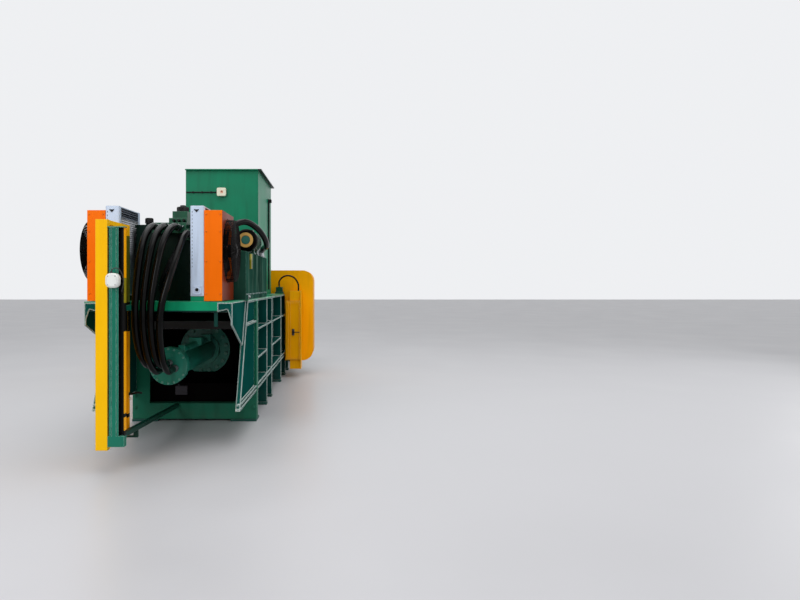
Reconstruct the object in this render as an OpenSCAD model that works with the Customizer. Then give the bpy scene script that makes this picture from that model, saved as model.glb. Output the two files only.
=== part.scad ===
// Horizontal channel baler for recyclables. Millimetres, Z up, X across, Y along the bale's way.
// The origin lies on the floor at the centre of the four anchor holes. Stations along the machine
// are counted from the rear face of the rear portal, and at_rear() puts them into the model.

/* [Body] */
// Outer width over the side ribs
body_w = 1440; // [1380:10:1600]
// Clear width of the pressing channel
chan_w = 1120; // [1000:10:1140]
// Clear height of the pressing channel
chan_h = 770; // [740:10:800]
// Height of the channel floor
floor_z = 420; // [400:10:440]
// Height of the body's top edge
top_z = 1415; // [1400:5:1500]
// Thickness of wall, floor and roof plates
plate_t = 20; // [12:1:25]
// Thickness of ribs and posts
rib_t = 20; // [12:1:25]
// Height of the lower edge of the side walls
wall_z = 350; // [320:10:370]
// Distance between the anchor holes across
anchor_w = 1080; // [1040:10:1120]
// Distance between the anchor holes along the machine
anchor_l = 5840; // [5600:10:6000]
// Diameter of an anchor hole
anchor_d = 28; // [18:1:34]
// Thickness of the foot plates
foot_t = 25; // [15:1:30]

/* [Stations] */
// Station of the rear anchor holes
anchor_s = 180; // [170:5:200]
// Depth of the rear portal's columns
column_d = 120; // [100:5:130]
// Station of the rear edge of the hopper tower
hopper_s = 1740; // [1730:5:1780]
// Length of the hopper tower along the machine
hopper_l = 1690; // [1500:10:1720]
// Distance from the tower's front edge to the tying line
tie_gap = 540; // [520:5:570]
// Length of the chamber beyond the tying line
tie_to_end = 630; // [610:10:730]
// End of the bale channel
channel_end = 6800; // [6600:10:7000]

/* [Rear platform] */
// Overhang of the platform behind the portal
deck_back = 1500; // [1480:10:1520]
// Distance of the platform's side edges from the ribs' outer edge
deck_inset = 30; // [20:1:60]
// Thickness of the platform plate
deck_t = 10; // [6:1:14]
// Depth of the platform's edge beams
beam_h = 85; // [60:5:95]

/* [Main cylinder] */
// Height of the cylinder's axis
cyl_z = 780; // [760:5:800]
// Outer diameter of the barrel
barrel_d = 280; // [270:2:290]
// Bore of the barrel
bore_d = 240; // [220:2:244]
// Diameter of the ram rod
rod_d = 180; // [120:5:190]
// Diameter of the bolted end cap
cap_d = 370; // [360:2:390]
// Diameter of the mounting flange
flange_d = 620; // [560:5:625]
// Running clearance of piston and rod
run_gap = 0.05; // [0.02:0.01:0.1]

/* [Ram] */
// Station of the ram's face at rest
ram_face = 1750; // [1745:1:1760]
// Depth of the grooves that the needles pass through
groove_d = 165; // [150:5:170]
// Side clearance of the ram
ram_gap = 2; // [1:0.5:4]
// Stroke of the ram
ram_travel = 2340; // [2200:5:2350]
// Length of the top skirt
skirt_l = 2250; // [2100:10:2300]

/* [Hopper] */
// Width of the hopper tower
hopper_w = 1034; // [960:2:1060]
// Height of the tower's top edge
hopper_top = 3230; // [2800:10:3400]
// Sheet thickness of the tower
hopper_t = 10; // [6:1:12]
// Width of the rim flange
rim_w = 50; // [35:1:60]

/* [Coolers] */
// Distance of a cooler's core from the middle
core_in = 330; // [320:5:340]
// Sideways place of the cooler pair and the oil tank
cooler_off = -36; // [-40:1:0]
// Thickness of a cooler's core
core_t = 130; // [110:5:140]
// Length of a cooler along the machine
cooler_l = 630; // [560:5:640]
// Height of a cooler's core
core_h = 845; // [760:5:900]
// Depth of the fan shroud
shroud_d = 170; // [150:5:180]
// Diameter of the fan opening
fan_hole = 560; // [480:5:570]
// Number of fan blades
blades = 7; // [5:1:9]

/* [Hydraulic hoses] */
// Diameter of the four main hoses
hose_d = 64; // [40:1:66]
// Distance from hose to hose on the manifold
hose_pitch = 101; // [90:1:102]

/* [Tying unit] */
// Pitch of the four needles
needle_pitch = 170; // [165:1:172]
// Height of the lowest needle
needle_z = 505; // [500:1:510]
// Diameter of a needle
needle_d = 30; // [20:1:36]
// Outer reach of the guard from the middle
guard_half = 1205; // [1200:5:1300]
// Top of the guard
guard_top = 1825; // [1760:5:1900]
// Corner radius of the guard
guard_r = 175; // [80:5:200]

/* [Hidden] */
$fn = 64;

// Stations and heights that follow from the driving sizes
portal_y = -anchor_l / 2 - anchor_s;
half_w = body_w / 2;
in_x = chan_w / 2;
out_x = in_x + plate_t;
roof_z = floor_z + chan_h;
deck_z = top_z + deck_t;
hopper_end = hopper_s + hopper_l;
front_anchor_s = anchor_s + anchor_l;
tie_s = hopper_end + tie_gap;
chamber_end = tie_s + tie_to_end;
rear_post_s = hopper_s - 660;
tie_post_s = tie_s - 50;
posts = [column_d, rear_post_s, hopper_s - 50, hopper_end - 330, tie_post_s, chamber_end - rib_t];
post_end = chamber_end;
deck_half = half_w - deck_inset;
deck_edge = deck_half - 140;
// Depth of the bay between the channel wall and the ribs' outer edge
bay = half_w - out_x;

// Rear cheeks: the slanted edge runs from the top station to the low one
cheek_top = -680;
cheek_low = -1240;
cheek_t = 16;
cheek_x = deck_half - cheek_t;
cheek_drop = 210;
kink_z = 970;
kink_s = cheek_top + (top_z - kink_z) / (top_z - wall_z) * (cheek_low - cheek_top);
column_w = 100;
infill_top = 1060;
high_rib_z = 1050;
low_rib_z = 710;
sill_h = 180;

// Main cylinder stations
cap_s = -1150;
cap_t = 60;
barrel_s = cap_s + cap_t;
piston_l = 150;
piston_s = barrel_s + 25;
barrel_end = piston_s + piston_l + ram_travel + 5;
head_l = 80;
flange_s = 590;
flange_t = 50;
bulk_s = flange_s + flange_t;
bulk_t = 40;
bulk_top = roof_z - 95;

// Ram
ram_half = in_x - ram_gap;
ram_low = floor_z + 1;
ram_top = roof_z - 3;
skirt_t = 25;
back_t = 30;
groove_s = ram_face - groove_d;
ram_back = groove_s - back_t;
ram_tail = 720;
groove_h = 60;
blade_t = 40;
blade_w = 65;

// Coolers
cooler_s = -deck_back + 10;
core_z = deck_z + 50;
shroud_z = deck_z + 5;
shroud_h = core_h + 3;
shroud_x = core_in + core_t;
shroud_out = shroud_x + shroud_d;
fan_s = cooler_s + cooler_l / 2;
fan_z = shroud_z + shroud_h / 2 + 58;
fan_r = fan_hole / 2 - 15;
hub_r = 60;
motor_r = 65;
// Depth of the drum-shaped wire guard
drum = 72;

// Hydraulic unit on the platform
tank_half = core_in - 30;
tank_x = cooler_off;
tank_s = -1080;
tank_l = 780;
tank_top = 2180;
manifold_d = 120;
manifold_s = tank_s - manifold_d;
manifold_z = 2090;
cabinet_s = -850;
cabinet_l = 1870;
cabinet_top = 1930;
motor_x = 600;
motor_s = -50;
pm_r = 130;
motor_z = cabinet_top + 40 + pm_r;
fit_l = 80;

// Rear guard
guard_s = -2120;
hinge_x = -370;
hinge_s = -deck_back - 25;
leaf_x = hinge_x + 18;
leaf_w = 100;
leaf_low = 195;
leaf_top = 2130;
leaf_end = hinge_s - 15;
post_x = leaf_x + leaf_w + 2;
post_w = 138;
post_low = 225;
post_top = 2060;
hinge_low = 170;

// Tying unit
tie_guard_s = tie_s - 170;
tie_guard_l = 520;
needle_n = 4;
needle_tip = -out_x - 20;
needle_l = 1440;
carriage_x = needle_tip - needle_l;
rail_end = carriage_x - 80;
rail_r = 25;
rail_z = [needle_z - 75, needle_z + 3 * needle_pitch + 115];
twist_x = half_w + 70;
cab_x = 760;
cab_w = 260;
cab_s = tie_s - 470;
cab_l = 290;
cab_low = 305;
cab_top = 1308;
guard_low = 275;
guard_t = 6;
valve_x = (in_x + half_w) / 2;
valve_s = tie_s - 350;
valve_top = top_z + 130;
tunnel = [rail_z[0] - 65, rail_z[1] + 65];

// Bale channel. Ring columns, flap ribs and pads share the bay.
ring_col = bay * 3 / 7;
ring_l = 100;
mid_ring_s = chamber_end + 1000;
flap_hinge_s = chamber_end + 50;
flap_hinge_x = out_x + bay / 5;
flap_pin_r = bay / 12;
flap_knuckle_r = bay / 6;
flap_rib = bay * 9 / 28;
flap_pad = bay * 2 / 7;
flap_end = channel_end - 60;
clamp_s = channel_end - 600;
clamp_z = floor_z + chan_h / 2;
clamp_r = 30;
wheel_s = chamber_end + 600;
wheel_r = 150;
wheel_z = roof_z + wheel_r - 10;

// Centre lines of the cords. The first three main hoses share a profile of station, height and
// place between the spread on the manifold, the narrower hanging row and the ports on the cap.
port_z = cyl_z + 5;
hose_profile = [[-1280, 2140, 0], [-1360, 2140, 0], [-1500, 2090, 0.1], [-1620, 1985, 0.3],
    [-1700, 1820, 0.55], [-1750, 1620, 0.8], [-1780, 1400, 1], [-1775, 1180, 1.15], [-1700, 990, 1.4],
    [-1560, 850, 1.75], [-1390, port_z, 2], [-1230, port_z, 2]];
port_x = [-105, -48, 9, 66];
port_rise = [26, -26, 26, -26];
row_x = [-128, -57, 13, 84];
top_x = [for (i = [0 : 3]) 11 + (i - 1) * hose_pitch];
low_port = [top_x[3] + 12, 2075];
last_hose = [[-1280, low_port[0], low_port[1]], [-1350, low_port[0], low_port[1]], [-1460, 222, 2020],
    [-1580, 205, 1900], [-1680, 180, 1740], [-1745, 140, 1560], [-1775, 102, 1380], [-1772, 86, 1180],
    [-1700, 80, 990], [-1560, 73, 840], [-1390, port_x[3], port_z - 26], [-1230, port_x[3], port_z - 26]];
function between(a, b, m) = a * (1 - m) + b * m;
function hose_x(i, m) = m < 1 ? between(top_x[i], row_x[i], m) : between(row_x[i], port_x[i], m - 1);
function hose_z(i, z, m) = z + port_rise[i] * max(0, m - 1);
drain_run = [[120, -1140, 2090], [120, -1140, 2000], [90, -1140, 1870], [25, -1140, 1745],
    [-40, -1140, 1630], [-80, -1140, 1560], [-90, -1120, 1535], [-90, -1080, 1535]];
motor_run = [[264, -340, 2090], [330, -340, 2090], [460, -270, 2225], [600, -130, 2300], [715, 60, 2245],
    [780, 280, 2140], [778, 480, 2060], [720, 655, 2040], [680, 715, 2005], [680, 715, 1930]];
switch_run = [[-205, -2160, 1679], [-205, -2160, 1692], [-193, -2159, 1712], [-168, -2158, 1722],
    [-138, -2157, 1706], [-114, -2155, 1662], [-106, -2152, 1612], [-114, -2145, 1565], [-128, -2128, 1528],
    [-136, -2102, 1505], [-137, -2088, 1500], [-137, -2075, 1500]];
tie_run = [for (p = [[0, 0], [0, 80], [60, 155], [160, 180], [260, 140], [320, 50], [330, -20], [330, -82]])
    [valve_x + p[0], valve_s, valve_top + 15 + p[1]]];

paint = "#1f7a52";
teal = "#1c5f52";
guard_yellow = "#f2c300";
shroud_orange = "#f07a10";
rubber_black = "#1b1b1d";
bare_steel = "#9a9ea2";

// Everything is drawn in stations, counted from the rear portal
module at_rear() {
    translate([0, portal_y, 0]) children();
}

// A plate cut to an outline of (station, height) points and spread along X
module slab_x(x, t, outline) {
    translate([x, 0, 0]) rotate([90, 0, 90]) linear_extrude(t) polygon(outline);
}

// A plate cut to an outline of (X, height) points and spread along the stations
module slab_s(s, t, outline) {
    translate([0, s + t, 0]) rotate([90, 0, 0]) linear_extrude(t) polygon(outline);
}

// A bar from one corner to the other, in X, station and height
module block(a, b) {
    translate(a) cube(b - a);
}

// A round bar along the stations
module rod_s(x, s, z, r, l) {
    translate([x, s, z]) rotate([-90, 0, 0]) cylinder(r = r, h = l);
}

// A round bar along X
module rod_x(x, s, z, r, l) {
    translate([x, s, z]) rotate([0, 90, 0]) cylinder(r = r, h = l);
}

module both_sides() {
    children();
    mirror([1, 0, 0]) children();
}

// The coolers stand on both sides of the oil tank, a little to the left of the middle
module beside() {
    translate([cooler_off, 0, 0]) both_sides() children();
}

// A ring of copies about the cylinder's axis
module around(n, r, s, z, first = 0) {
    for (i = [0 : n - 1]) {
        a = first + i * 360 / n;
        translate([r * cos(a), s, z + r * sin(a)]) children();
    }
}

// A tube with flat ends, swept along a run of points. The frame is carried from ring to ring.
function unit(v) = v / norm(v);
function tangent(p, i) = unit(p[min(i + 1, len(p) - 1)] - p[max(i - 1, 0)]);
function side_of(t) = unit(cross(t, abs(t[0]) < 0.9 ? [1, 0, 0] : [0, 1, 0]));
function carried(p, i) = i == 0 ? side_of(tangent(p, 0)) :
    let (u = carried(p, i - 1), t = tangent(p, i)) unit(u - (u * t) * t);
module sweep_tube(run, d, sides = 8) {
    n = len(run);
    rings = [for (i = [0 : n - 1])
        let (t = tangent(run, i), u = carried(run, i), v = cross(t, u))
        for (k = [0 : sides - 1])
            run[i] + d / 2 * (u * cos(360 * k / sides) + v * sin(360 * k / sides))];
    walls = [for (i = [0 : n - 2]) for (k = [0 : sides - 1])
        let (a = i * sides + k, b = i * sides + (k + 1) % sides)
        each [[a, b, b + sides], [a, b + sides, a + sides]]];
    first = [for (k = [0 : sides - 1]) sides - 1 - k];
    last = [for (k = [0 : sides - 1]) (n - 1) * sides + k];
    polyhedron(points = rings, faces = concat(walls, [first, last]), convexity = 4);
}

// Rectangular tube along the stations or across, with open ends
module tube_s(a, b, t) {
    difference() {
        block(a, b);
        block([a[0] + t, a[1] - 1, a[2] + t], [b[0] - t, b[1] + 1, b[2] - t]);
    }
}
module tube_x(a, b, t) {
    difference() {
        block(a, b);
        block([a[0] - 1, a[1] + t, a[2] + t], [b[0] + 1, b[1] - t, b[2] - t]);
    }
}

long_x = 260;
long_w = 120;
long_h = 180;
tube_t = 8;
cross_s = [for (i = [1 : len(posts) - 1]) posts[i]];

// Foot plates, two long tubes and the cross tubes under the posts
module base_frame() at_rear() color(teal) {
    long_z = foot_t + long_h;
    difference() {
        union() {
            both_sides() {
                block([420, -20, 0], [half_w, anchor_s + 60, foot_t]);
                block([420, front_anchor_s - 120, 0], [half_w, front_anchor_s + 60, foot_t]);
            }
            for (s = cross_s) {
                both_sides() block([long_x, s - 60, 0], [half_w, s + 60, foot_t]);
            }
        }
        both_sides() for (s = [anchor_s, front_anchor_s]) {
            translate([anchor_w / 2, s, -1]) cylinder(d = anchor_d, h = foot_t + 2);
        }
    }
    both_sides() tube_s([long_x, column_d, foot_t], [long_x + long_w, channel_end - 60, long_z], tube_t);
    for (s = cross_s) {
        tube_x([-long_x, s - 40, foot_t], [long_x, s + 40, long_z], tube_t);
        both_sides() tube_x([long_x + long_w, s - 40, foot_t], [out_x, s + 40, long_z], tube_t);
    }
    both_sides() {
        block([long_x + long_w, anchor_s - 60, 0], [420, anchor_s + 60, foot_t]);
        block([long_x, anchor_s - 60, 0], [long_x + long_w, anchor_s + 60, foot_t]);
        block([long_x, front_anchor_s - 120, 0], [420, front_anchor_s + 60, foot_t]);
    }
}

// Floor plate with long webs on the base tubes and cross webs
module chamber_floor() at_rear() color(teal) {
    web_x = long_x + long_w / 2;
    block([-in_x, column_d, floor_z - plate_t], [in_x, chamber_end, floor_z]);
    both_sides() block([web_x, column_d, foot_t + long_h], [web_x + rib_t, chamber_end, floor_z - plate_t]);
    for (s = [400 : 600 : chamber_end - 200]) {
        block([-in_x, s, floor_z - plate_t - 90], [in_x, s + 12, floor_z - plate_t]);
    }
    // Apron that closes the space under the floor at the rear
    block([-in_x, column_d, foot_t + long_h], [in_x, column_d + 12, floor_z - plate_t]);
}

// The side wall with its rear cheek. The cheek's upper rear corner runs out to carry the platform.
module wall() {
    flange = half_w - cheek_x;
    cheek_w = cheek_x + cheek_t;
    rib = [out_x, half_w];
    // Cheek plate, as wide as the platform at its top, and the plate that closes its rear end
    slab_x(cheek_x, cheek_t, [[-deck_back, top_z], [-deck_back, top_z - cheek_drop], [kink_s, kink_z],
        [cheek_low + 10, wall_z], [0, wall_z], [0, top_z - rib_t], [cheek_top + 10, top_z - rib_t],
        [cheek_top + 10, top_z]]);
    slab_s(-deck_back, 12, [[deck_edge, top_z - beam_h], [deck_edge + 93, top_z - beam_h + 20],
        [cheek_x, top_z - 161], [cheek_x + cheek_t / 2, top_z - 161], [cheek_x + cheek_t / 2, top_z],
        [deck_edge, top_z]]);
    // Flange along the slanted edge, ledge along the foot and the rib of the first bay
    slab_x(cheek_x, flange, [[cheek_top, top_z], [cheek_top + 22, top_z], [cheek_low + 22, wall_z],
        [cheek_low, wall_z]]);
    block([cheek_x, cheek_low + 5, wall_z], [half_w, 0, wall_z + rib_t]);
    block([cheek_w, cheek_low + 25, wall_z + 45], [half_w, 0, wall_z + 45 + rib_t]);
    block([cheek_w, cheek_top - 125, 1150], [half_w, 0, 1150 + rib_t]);
    // Chamber wall with its top flange, foot flange, long ribs and posts
    difference() {
        union() {
            block([in_x, column_d, wall_z], [out_x, post_end, top_z]);
            block([rib[0], column_d, wall_z], [rib[1], post_end, wall_z + rib_t]);
            block([rib[0], column_d, wall_z + 50], [rib[1], post_end, wall_z + 50 + rib_t]);
            block([rib[0], column_d, high_rib_z], [rib[1], posts[4] + rib_t, high_rib_z + rib_t]);
            block([rib[0], column_d, low_rib_z], [rib[1], posts[1], low_rib_z + rib_t]);
            block([rib[0], posts[2], low_rib_z], [rib[1], posts[3], low_rib_z + rib_t]);
            for (s = posts) block([rib[0], s, foot_t], [rib[1], s + rib_t, top_z]);
        }
        for (i = [0 : needle_n - 1]) {
            z = needle_z + i * needle_pitch;
            block([in_x - 1, tie_s - 30, z - 25], [out_x + 1, tie_s + 30, z + 25]);
        }
    }
    block([in_x, cheek_top + 10, top_z - rib_t], [half_w, post_end, top_z]);
}
module wall_right() at_rear() color(teal) wall();
module wall_left() at_rear() color(teal) mirror([1, 0, 0]) wall();

// Roof between hopper and bale channel, with its cross ribs
module chamber_roof() at_rear() color(paint) {
    roof_s = hopper_end + 30;
    block([-in_x, roof_s, roof_z], [in_x, chamber_end, roof_z + plate_t]);
    for (s = [roof_s, roof_s + 260, tie_s - 120, tie_s + 120, chamber_end - 140]) {
        block([-in_x, s, roof_z + plate_t], [in_x, s + rib_t, top_z]);
    }
    both_sides() block([180, roof_s, roof_z + plate_t], [180 + rib_t, chamber_end, top_z - 60]);
}

// Columns, sill and header at the machine's rear end
module rear_portal() at_rear() color(paint) {
    inner = half_w - column_w;
    both_sides() tube_column(inner, half_w);
    tube_x([-inner, 0, foot_t], [inner, column_d, foot_t + sill_h], tube_t);
    tube_x([-inner, 0, top_z - rib_t - 95], [inner, 60, top_z - rib_t], tube_t);
    // Infill plates beside the columns, below the way of the ram's skirt
    both_sides() block([inner - 100, 0, foot_t], [inner, rib_t, infill_top]);
}
module tube_column(x0, x1) {
    difference() {
        block([x0, 0, foot_t], [x1, column_d, top_z - rib_t]);
        block([x0 + tube_t, tube_t, foot_t - 1], [x1 - tube_t, column_d - tube_t, top_z - rib_t + 1]);
    }
}

// Platform plate with its edge beams, cooler pads and the apron behind the hopper
module deck() at_rear() color(paint) {
    edge = deck_edge;
    low = top_z - beam_h;
    block([-deck_half, -deck_back, top_z], [deck_half, cheek_top, deck_z]);
    block([-half_w, cheek_top, top_z], [half_w, hopper_s - 40, deck_z]);
    // Rear edge channel, open to the front
    block([-edge, -deck_back, low], [edge, -deck_back + 8, top_z]);
    block([-edge, -deck_back, low], [edge, -deck_back + 60, low + 8]);
    // Side channels and the cross beams between them
    both_sides() {
        block([edge, -deck_back + 12, low], [edge + 8, cheek_top, top_z]);
        block([edge, -deck_back + 12, low], [cheek_x, cheek_top - 50, low + 8]);
        block([edge - 35, -deck_back + 20, low - 140], [edge, -deck_back + 28, low]);
    }
    // Feet of the cooler cores
    beside() for (s = [cooler_s + 20, cooler_s + cooler_l - 90]) {
        block([core_in, s, deck_z], [core_in + core_t, s + 70, core_z]);
    }
    for (s = [-1100, cheek_top - 8]) block([-edge, s, low], [edge, s + 8, top_z]);
    block([-in_x, hopper_s - 40, roof_z + 2], [in_x, hopper_s - 25, top_z]);
    block([-in_x, 500, top_z - 80], [in_x, 512, top_z]);
    block([-in_x, 1100, top_z - 80], [in_x, 1112, top_z]);
}

// Cross plate that takes the cylinder's thrust, with its two gussets
module bulkhead() at_rear() color(paint) {
    difference() {
        block([-in_x, bulk_s, floor_z], [in_x, bulk_s + bulk_t, bulk_top]);
        rod_s(0, bulk_s - 1, cyl_z, barrel_d / 2 + 0.3, bulk_t + 2);
    }
    both_sides() slab_x(400, rib_t, [[bulk_s - 280, floor_z], [bulk_s, floor_z], [bulk_s, bulk_top - 60],
        [bulk_s - 20, bulk_top - 60]]);
    // Bed plate under the flange
    block([-155, flange_s - 62, floor_z], [155, flange_s - 0.3, cyl_z - flange_d / 2 + 27]);
}

// Feed tower with its base flange and its drilled rim, which leaves the left side free
module hopper() at_rear() color(paint) {
    hx = hopper_w / 2;
    base_z = top_z;
    rim_t = 14;
    difference() {
        union() {
            block([-hx, hopper_s, base_z], [hx, hopper_end, hopper_top]);
            block([-half_w, hopper_s - 40, base_z], [half_w, hopper_end + 50, base_z + rib_t]);
            block([-hx, hopper_s - rim_w, hopper_top - rim_t], [hx + rim_w, hopper_end + rim_w, hopper_top]);
        }
        block([-hx + hopper_t, hopper_s + hopper_t, base_z - 1],
            [hx - hopper_t, hopper_end - hopper_t, hopper_top + 1]);
        for (i = [-2 : 2], s = [hopper_s - rim_w / 2, hopper_end + rim_w / 2]) {
            translate([i * hopper_w / 5, s, hopper_top - rim_t - 1]) cylinder(d = 14, h = rim_t + 2);
        }
        for (i = [-3 : 3]) {
            translate([hx + rim_w / 2, (hopper_s + hopper_end) / 2 + i * hopper_l / 7, hopper_top - rim_t - 1])
                cylinder(d = 14, h = rim_t + 2);
        }
    }
}

// Shear blade bolted under the hopper's front edge
module fixed_blade() at_rear() color(bare_steel) {
    difference() {
        block([-in_x + 5, hopper_end - 30, roof_z], [in_x - 5, hopper_end + 30, roof_z + 60]);
        for (x = [-450 : 180 : 450]) {
            translate([x, hopper_end - 31, roof_z + 30]) rotate([-90, 0, 0]) cylinder(d = 22, h = 62);
        }
    }
}

// Barrel with its cap collar and its front head
module barrel() at_rear() color(paint) {
    difference() {
        union() {
            rod_s(0, barrel_s, cyl_z, barrel_d / 2, barrel_end - barrel_s);
            rod_s(0, barrel_s, cyl_z, cap_d / 2, 50);
            rod_s(0, barrel_end, cyl_z, barrel_d / 2, head_l);
        }
        rod_s(0, barrel_s - 1, cyl_z, bore_d / 2, barrel_end - barrel_s + 1);
        rod_s(0, barrel_end - 1, cyl_z, rod_d / 2 + run_gap, head_l + 2);
    }
}

// End cap with the raised pad for the four hose flanges
module cylinder_cap() at_rear() color(paint) {
    rod_s(0, cap_s, cyl_z, cap_d / 2, cap_t);
    rod_s(0, barrel_s, cyl_z, bore_d / 2 - 1, 20);
}

flange_bolts = 16;

// Hexagon heads of the cap and of the mounting flange
module cylinder_bolts() at_rear() color(bare_steel) {
    for (side = [0, 180], a = [30 : 20 : 150]) {
        translate([(cap_d / 2 - 16) * cos(a + side), cap_s, cyl_z + (cap_d / 2 - 16) * sin(a + side)])
            rotate([90, 0, 0]) cylinder(d = 22, h = 12, $fn = 6);
    }
    around(flange_bolts, flange_d / 2 - 45, flange_s, cyl_z, 11.25)
        rotate([90, 0, 0]) cylinder(d = 46, h = 28, $fn = 6);
}

// Ring that bolts the barrel to the bulkhead
module mount_flange() at_rear() color(paint) {
    difference() {
        rod_s(0, flange_s, cyl_z, flange_d / 2, flange_t);
        rod_s(0, flange_s - 1, cyl_z, barrel_d / 2 + 0.3, flange_t + 2);
    }
    difference() {
        rod_s(0, flange_s - 60, cyl_z, barrel_d / 2 + 45, 60);
        rod_s(0, flange_s - 61, cyl_z, barrel_d / 2 + 0.3, 62);
    }
}

pipe_x = 100;
pipe_r = 35;
pipe_z = cyl_z + barrel_d / 2 + 10;
pipe_l = 1400;
// Oil pipe beside the barrel with its valve block and its end block
module side_pipe() at_rear() color(paint) {
    saddle_x = pipe_x - 30;
    saddle_z = cyl_z + sqrt(pow(barrel_d / 2 + 0.35, 2) - pow(saddle_x, 2));
    rod_s(pipe_x, barrel_s + 60, pipe_z, pipe_r, pipe_l);
    block([pipe_x - 60, -450, pipe_z - 8], [pipe_x + 75, -310, pipe_z + 75]);
    block([pipe_x - 55, 90, pipe_z - 8], [pipe_x + 65, 210, pipe_z + 68]);
    for (s = [barrel_s + 60, barrel_s + pipe_l - 10]) {
        block([saddle_x, s, saddle_z], [pipe_x + 30, s + 70, pipe_z + 45]);
    }
}

// Flanged hose ends on the manifold and on the cap
module hose_end(x, s, z) {
    translate([x, s, z]) rotate([90, 0, 0]) {
        cylinder(r = hose_d / 2 + 5, h = 22);
        cylinder(r = hose_d / 2 + 3, h = fit_l);
    }
}
module hose_fittings() at_rear() color(bare_steel) {
    for (i = [0 : 3]) {
        hose_end(port_x[i], cap_s, port_z + port_rise[i]);
        if (i < 3) hose_end(top_x[i], manifold_s, hose_profile[0][1]);
        else hose_end(low_port[0], manifold_s, low_port[1]);
    }
}

// Stepped block that feeds the four hoses, bolted to the tank's rear face
module manifold() at_rear() color(paint) {
    step_x = top_x[3] - 45;
    block([top_x[0] - 55, manifold_s, manifold_z], [step_x + 20, tank_s, manifold_z + 100]);
    block([step_x, manifold_s, low_port[1] - 55], [tank_x + tank_half, tank_s, low_port[1] + 55]);
}

module oil_tank() at_rear() color(teal) {
    translate([tank_x, 0, 0]) {
        block([-tank_half, tank_s, deck_z], [tank_half, tank_s + tank_l, tank_top]);
        block([-tank_half - 15, tank_s, tank_top - 30], [tank_half + 15, tank_s + tank_l + 15, tank_top]);
    }
}

// Stepped valve stack on the tank
module tank_valves() at_rear() color(paint) {
    block([-20, tank_s + 30, tank_top], [160, tank_s + 230, tank_top + 70]);
    block([10, tank_s + 50, tank_top + 70], [160, tank_s + 210, tank_top + 140]);
}

// Black return filter head
module filter() at_rear() color(rubber_black) {
    translate([96, tank_s + 130, tank_top + 140]) {
        cylinder(r = 62, h = 50);
        cylinder(r = 30, h = 68);
    }
}

// Sheet housing of the pump drive along the right edge
module power_cabinet() at_rear() color(paint) {
    difference() {
        block([core_in, cabinet_s, deck_z], [half_w, cabinet_s + cabinet_l, cabinet_top]);
        block([core_in + 5, cabinet_s + 5, deck_z - 1],
            [half_w - 5, cabinet_s + cabinet_l - 5, cabinet_top - 5]);
    }
}

// Sight glass in its bracket
module level_gauge() at_rear() color("#a8a32a") {
    block([half_w, -570, cabinet_top - 178], [half_w + 22, -530, cabinet_top - 18]);
}

// Electric motor lying on the housing, with cooling ribs and feet
module pump_motor() at_rear() color(paint) {
    rod_s(motor_x, motor_s, motor_z, pm_r - 12, 480);
    rod_s(motor_x, motor_s, motor_z, pm_r, 60);
    rod_s(motor_x, motor_s + 420, motor_z, pm_r, 60);
    for (a = [0 : 15 : 345]) {
        translate([motor_x, motor_s + 60, motor_z]) rotate([0, a, 0])
            translate([pm_r - 18, 0, -2]) cube([14, 360, 4]);
    }
    for (x = [-95, 55], s = [90, 350]) {
        block([motor_x + x, motor_s + s, cabinet_top], [motor_x + x + 40, motor_s + s + 60, motor_z - 80]);
    }
}

// Bell housing and pump at the motor's front end
module pump() at_rear() color(bare_steel) {
    rod_s(motor_x, motor_s + 480, motor_z, 105, 90);
    rod_s(motor_x, motor_s + 570, motor_z, 75, 130);
    block([motor_x - 60, motor_s + 600, motor_z - 50], [motor_x + 60, motor_s + 680, motor_z + 60]);
}

// Oil cooler: two upright header tanks with the finned core between them
module core() {
    header = 60;
    fins = 26;
    pitch = (core_h - 60) / fins;
    x1 = core_in + core_t;
    for (s = [cooler_s, cooler_s + cooler_l - header]) {
        block([core_in, s, core_z], [x1, s + header, core_z + core_h]);
    }
    difference() {
        block([core_in + 6, cooler_s + header, core_z + 10],
            [x1, cooler_s + cooler_l - header, core_z + core_h - 10]);
        for (i = [0 : fins - 1]) {
            z = core_z + 30 + i * pitch;
            block([core_in, cooler_s + header, z + 6],
                [core_in + 20, cooler_s + cooler_l - header, z + pitch - 6]);
        }
    }
    // Oil port on the rear header
    rod_s(core_in + core_t / 2, cooler_s - 18, core_z + 60, 24, 18);
}
module cooler_cores() at_rear() color("#c9cbe0") beside() core();

// Sheet shroud with a round opening for the fan
module shroud() {
    t = 6;
    difference() {
        block([shroud_x, cooler_s, shroud_z], [shroud_out, cooler_s + cooler_l, shroud_z + shroud_h]);
        block([shroud_x - 1, cooler_s + t, shroud_z + t],
            [shroud_out - t, cooler_s + cooler_l - t, shroud_z + shroud_h - t]);
        rod_x(shroud_out - t - 1, fan_s, fan_z, fan_hole / 2, t + 2);
    }
    difference() {
        rod_x(shroud_out - 70, fan_s, fan_z, fan_hole / 2 + 4, 70);
        rod_x(shroud_out - 71, fan_s, fan_z, fan_hole / 2, 72);
    }
}
module cooler_shrouds() at_rear() color(shroud_orange) beside() shroud();

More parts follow.
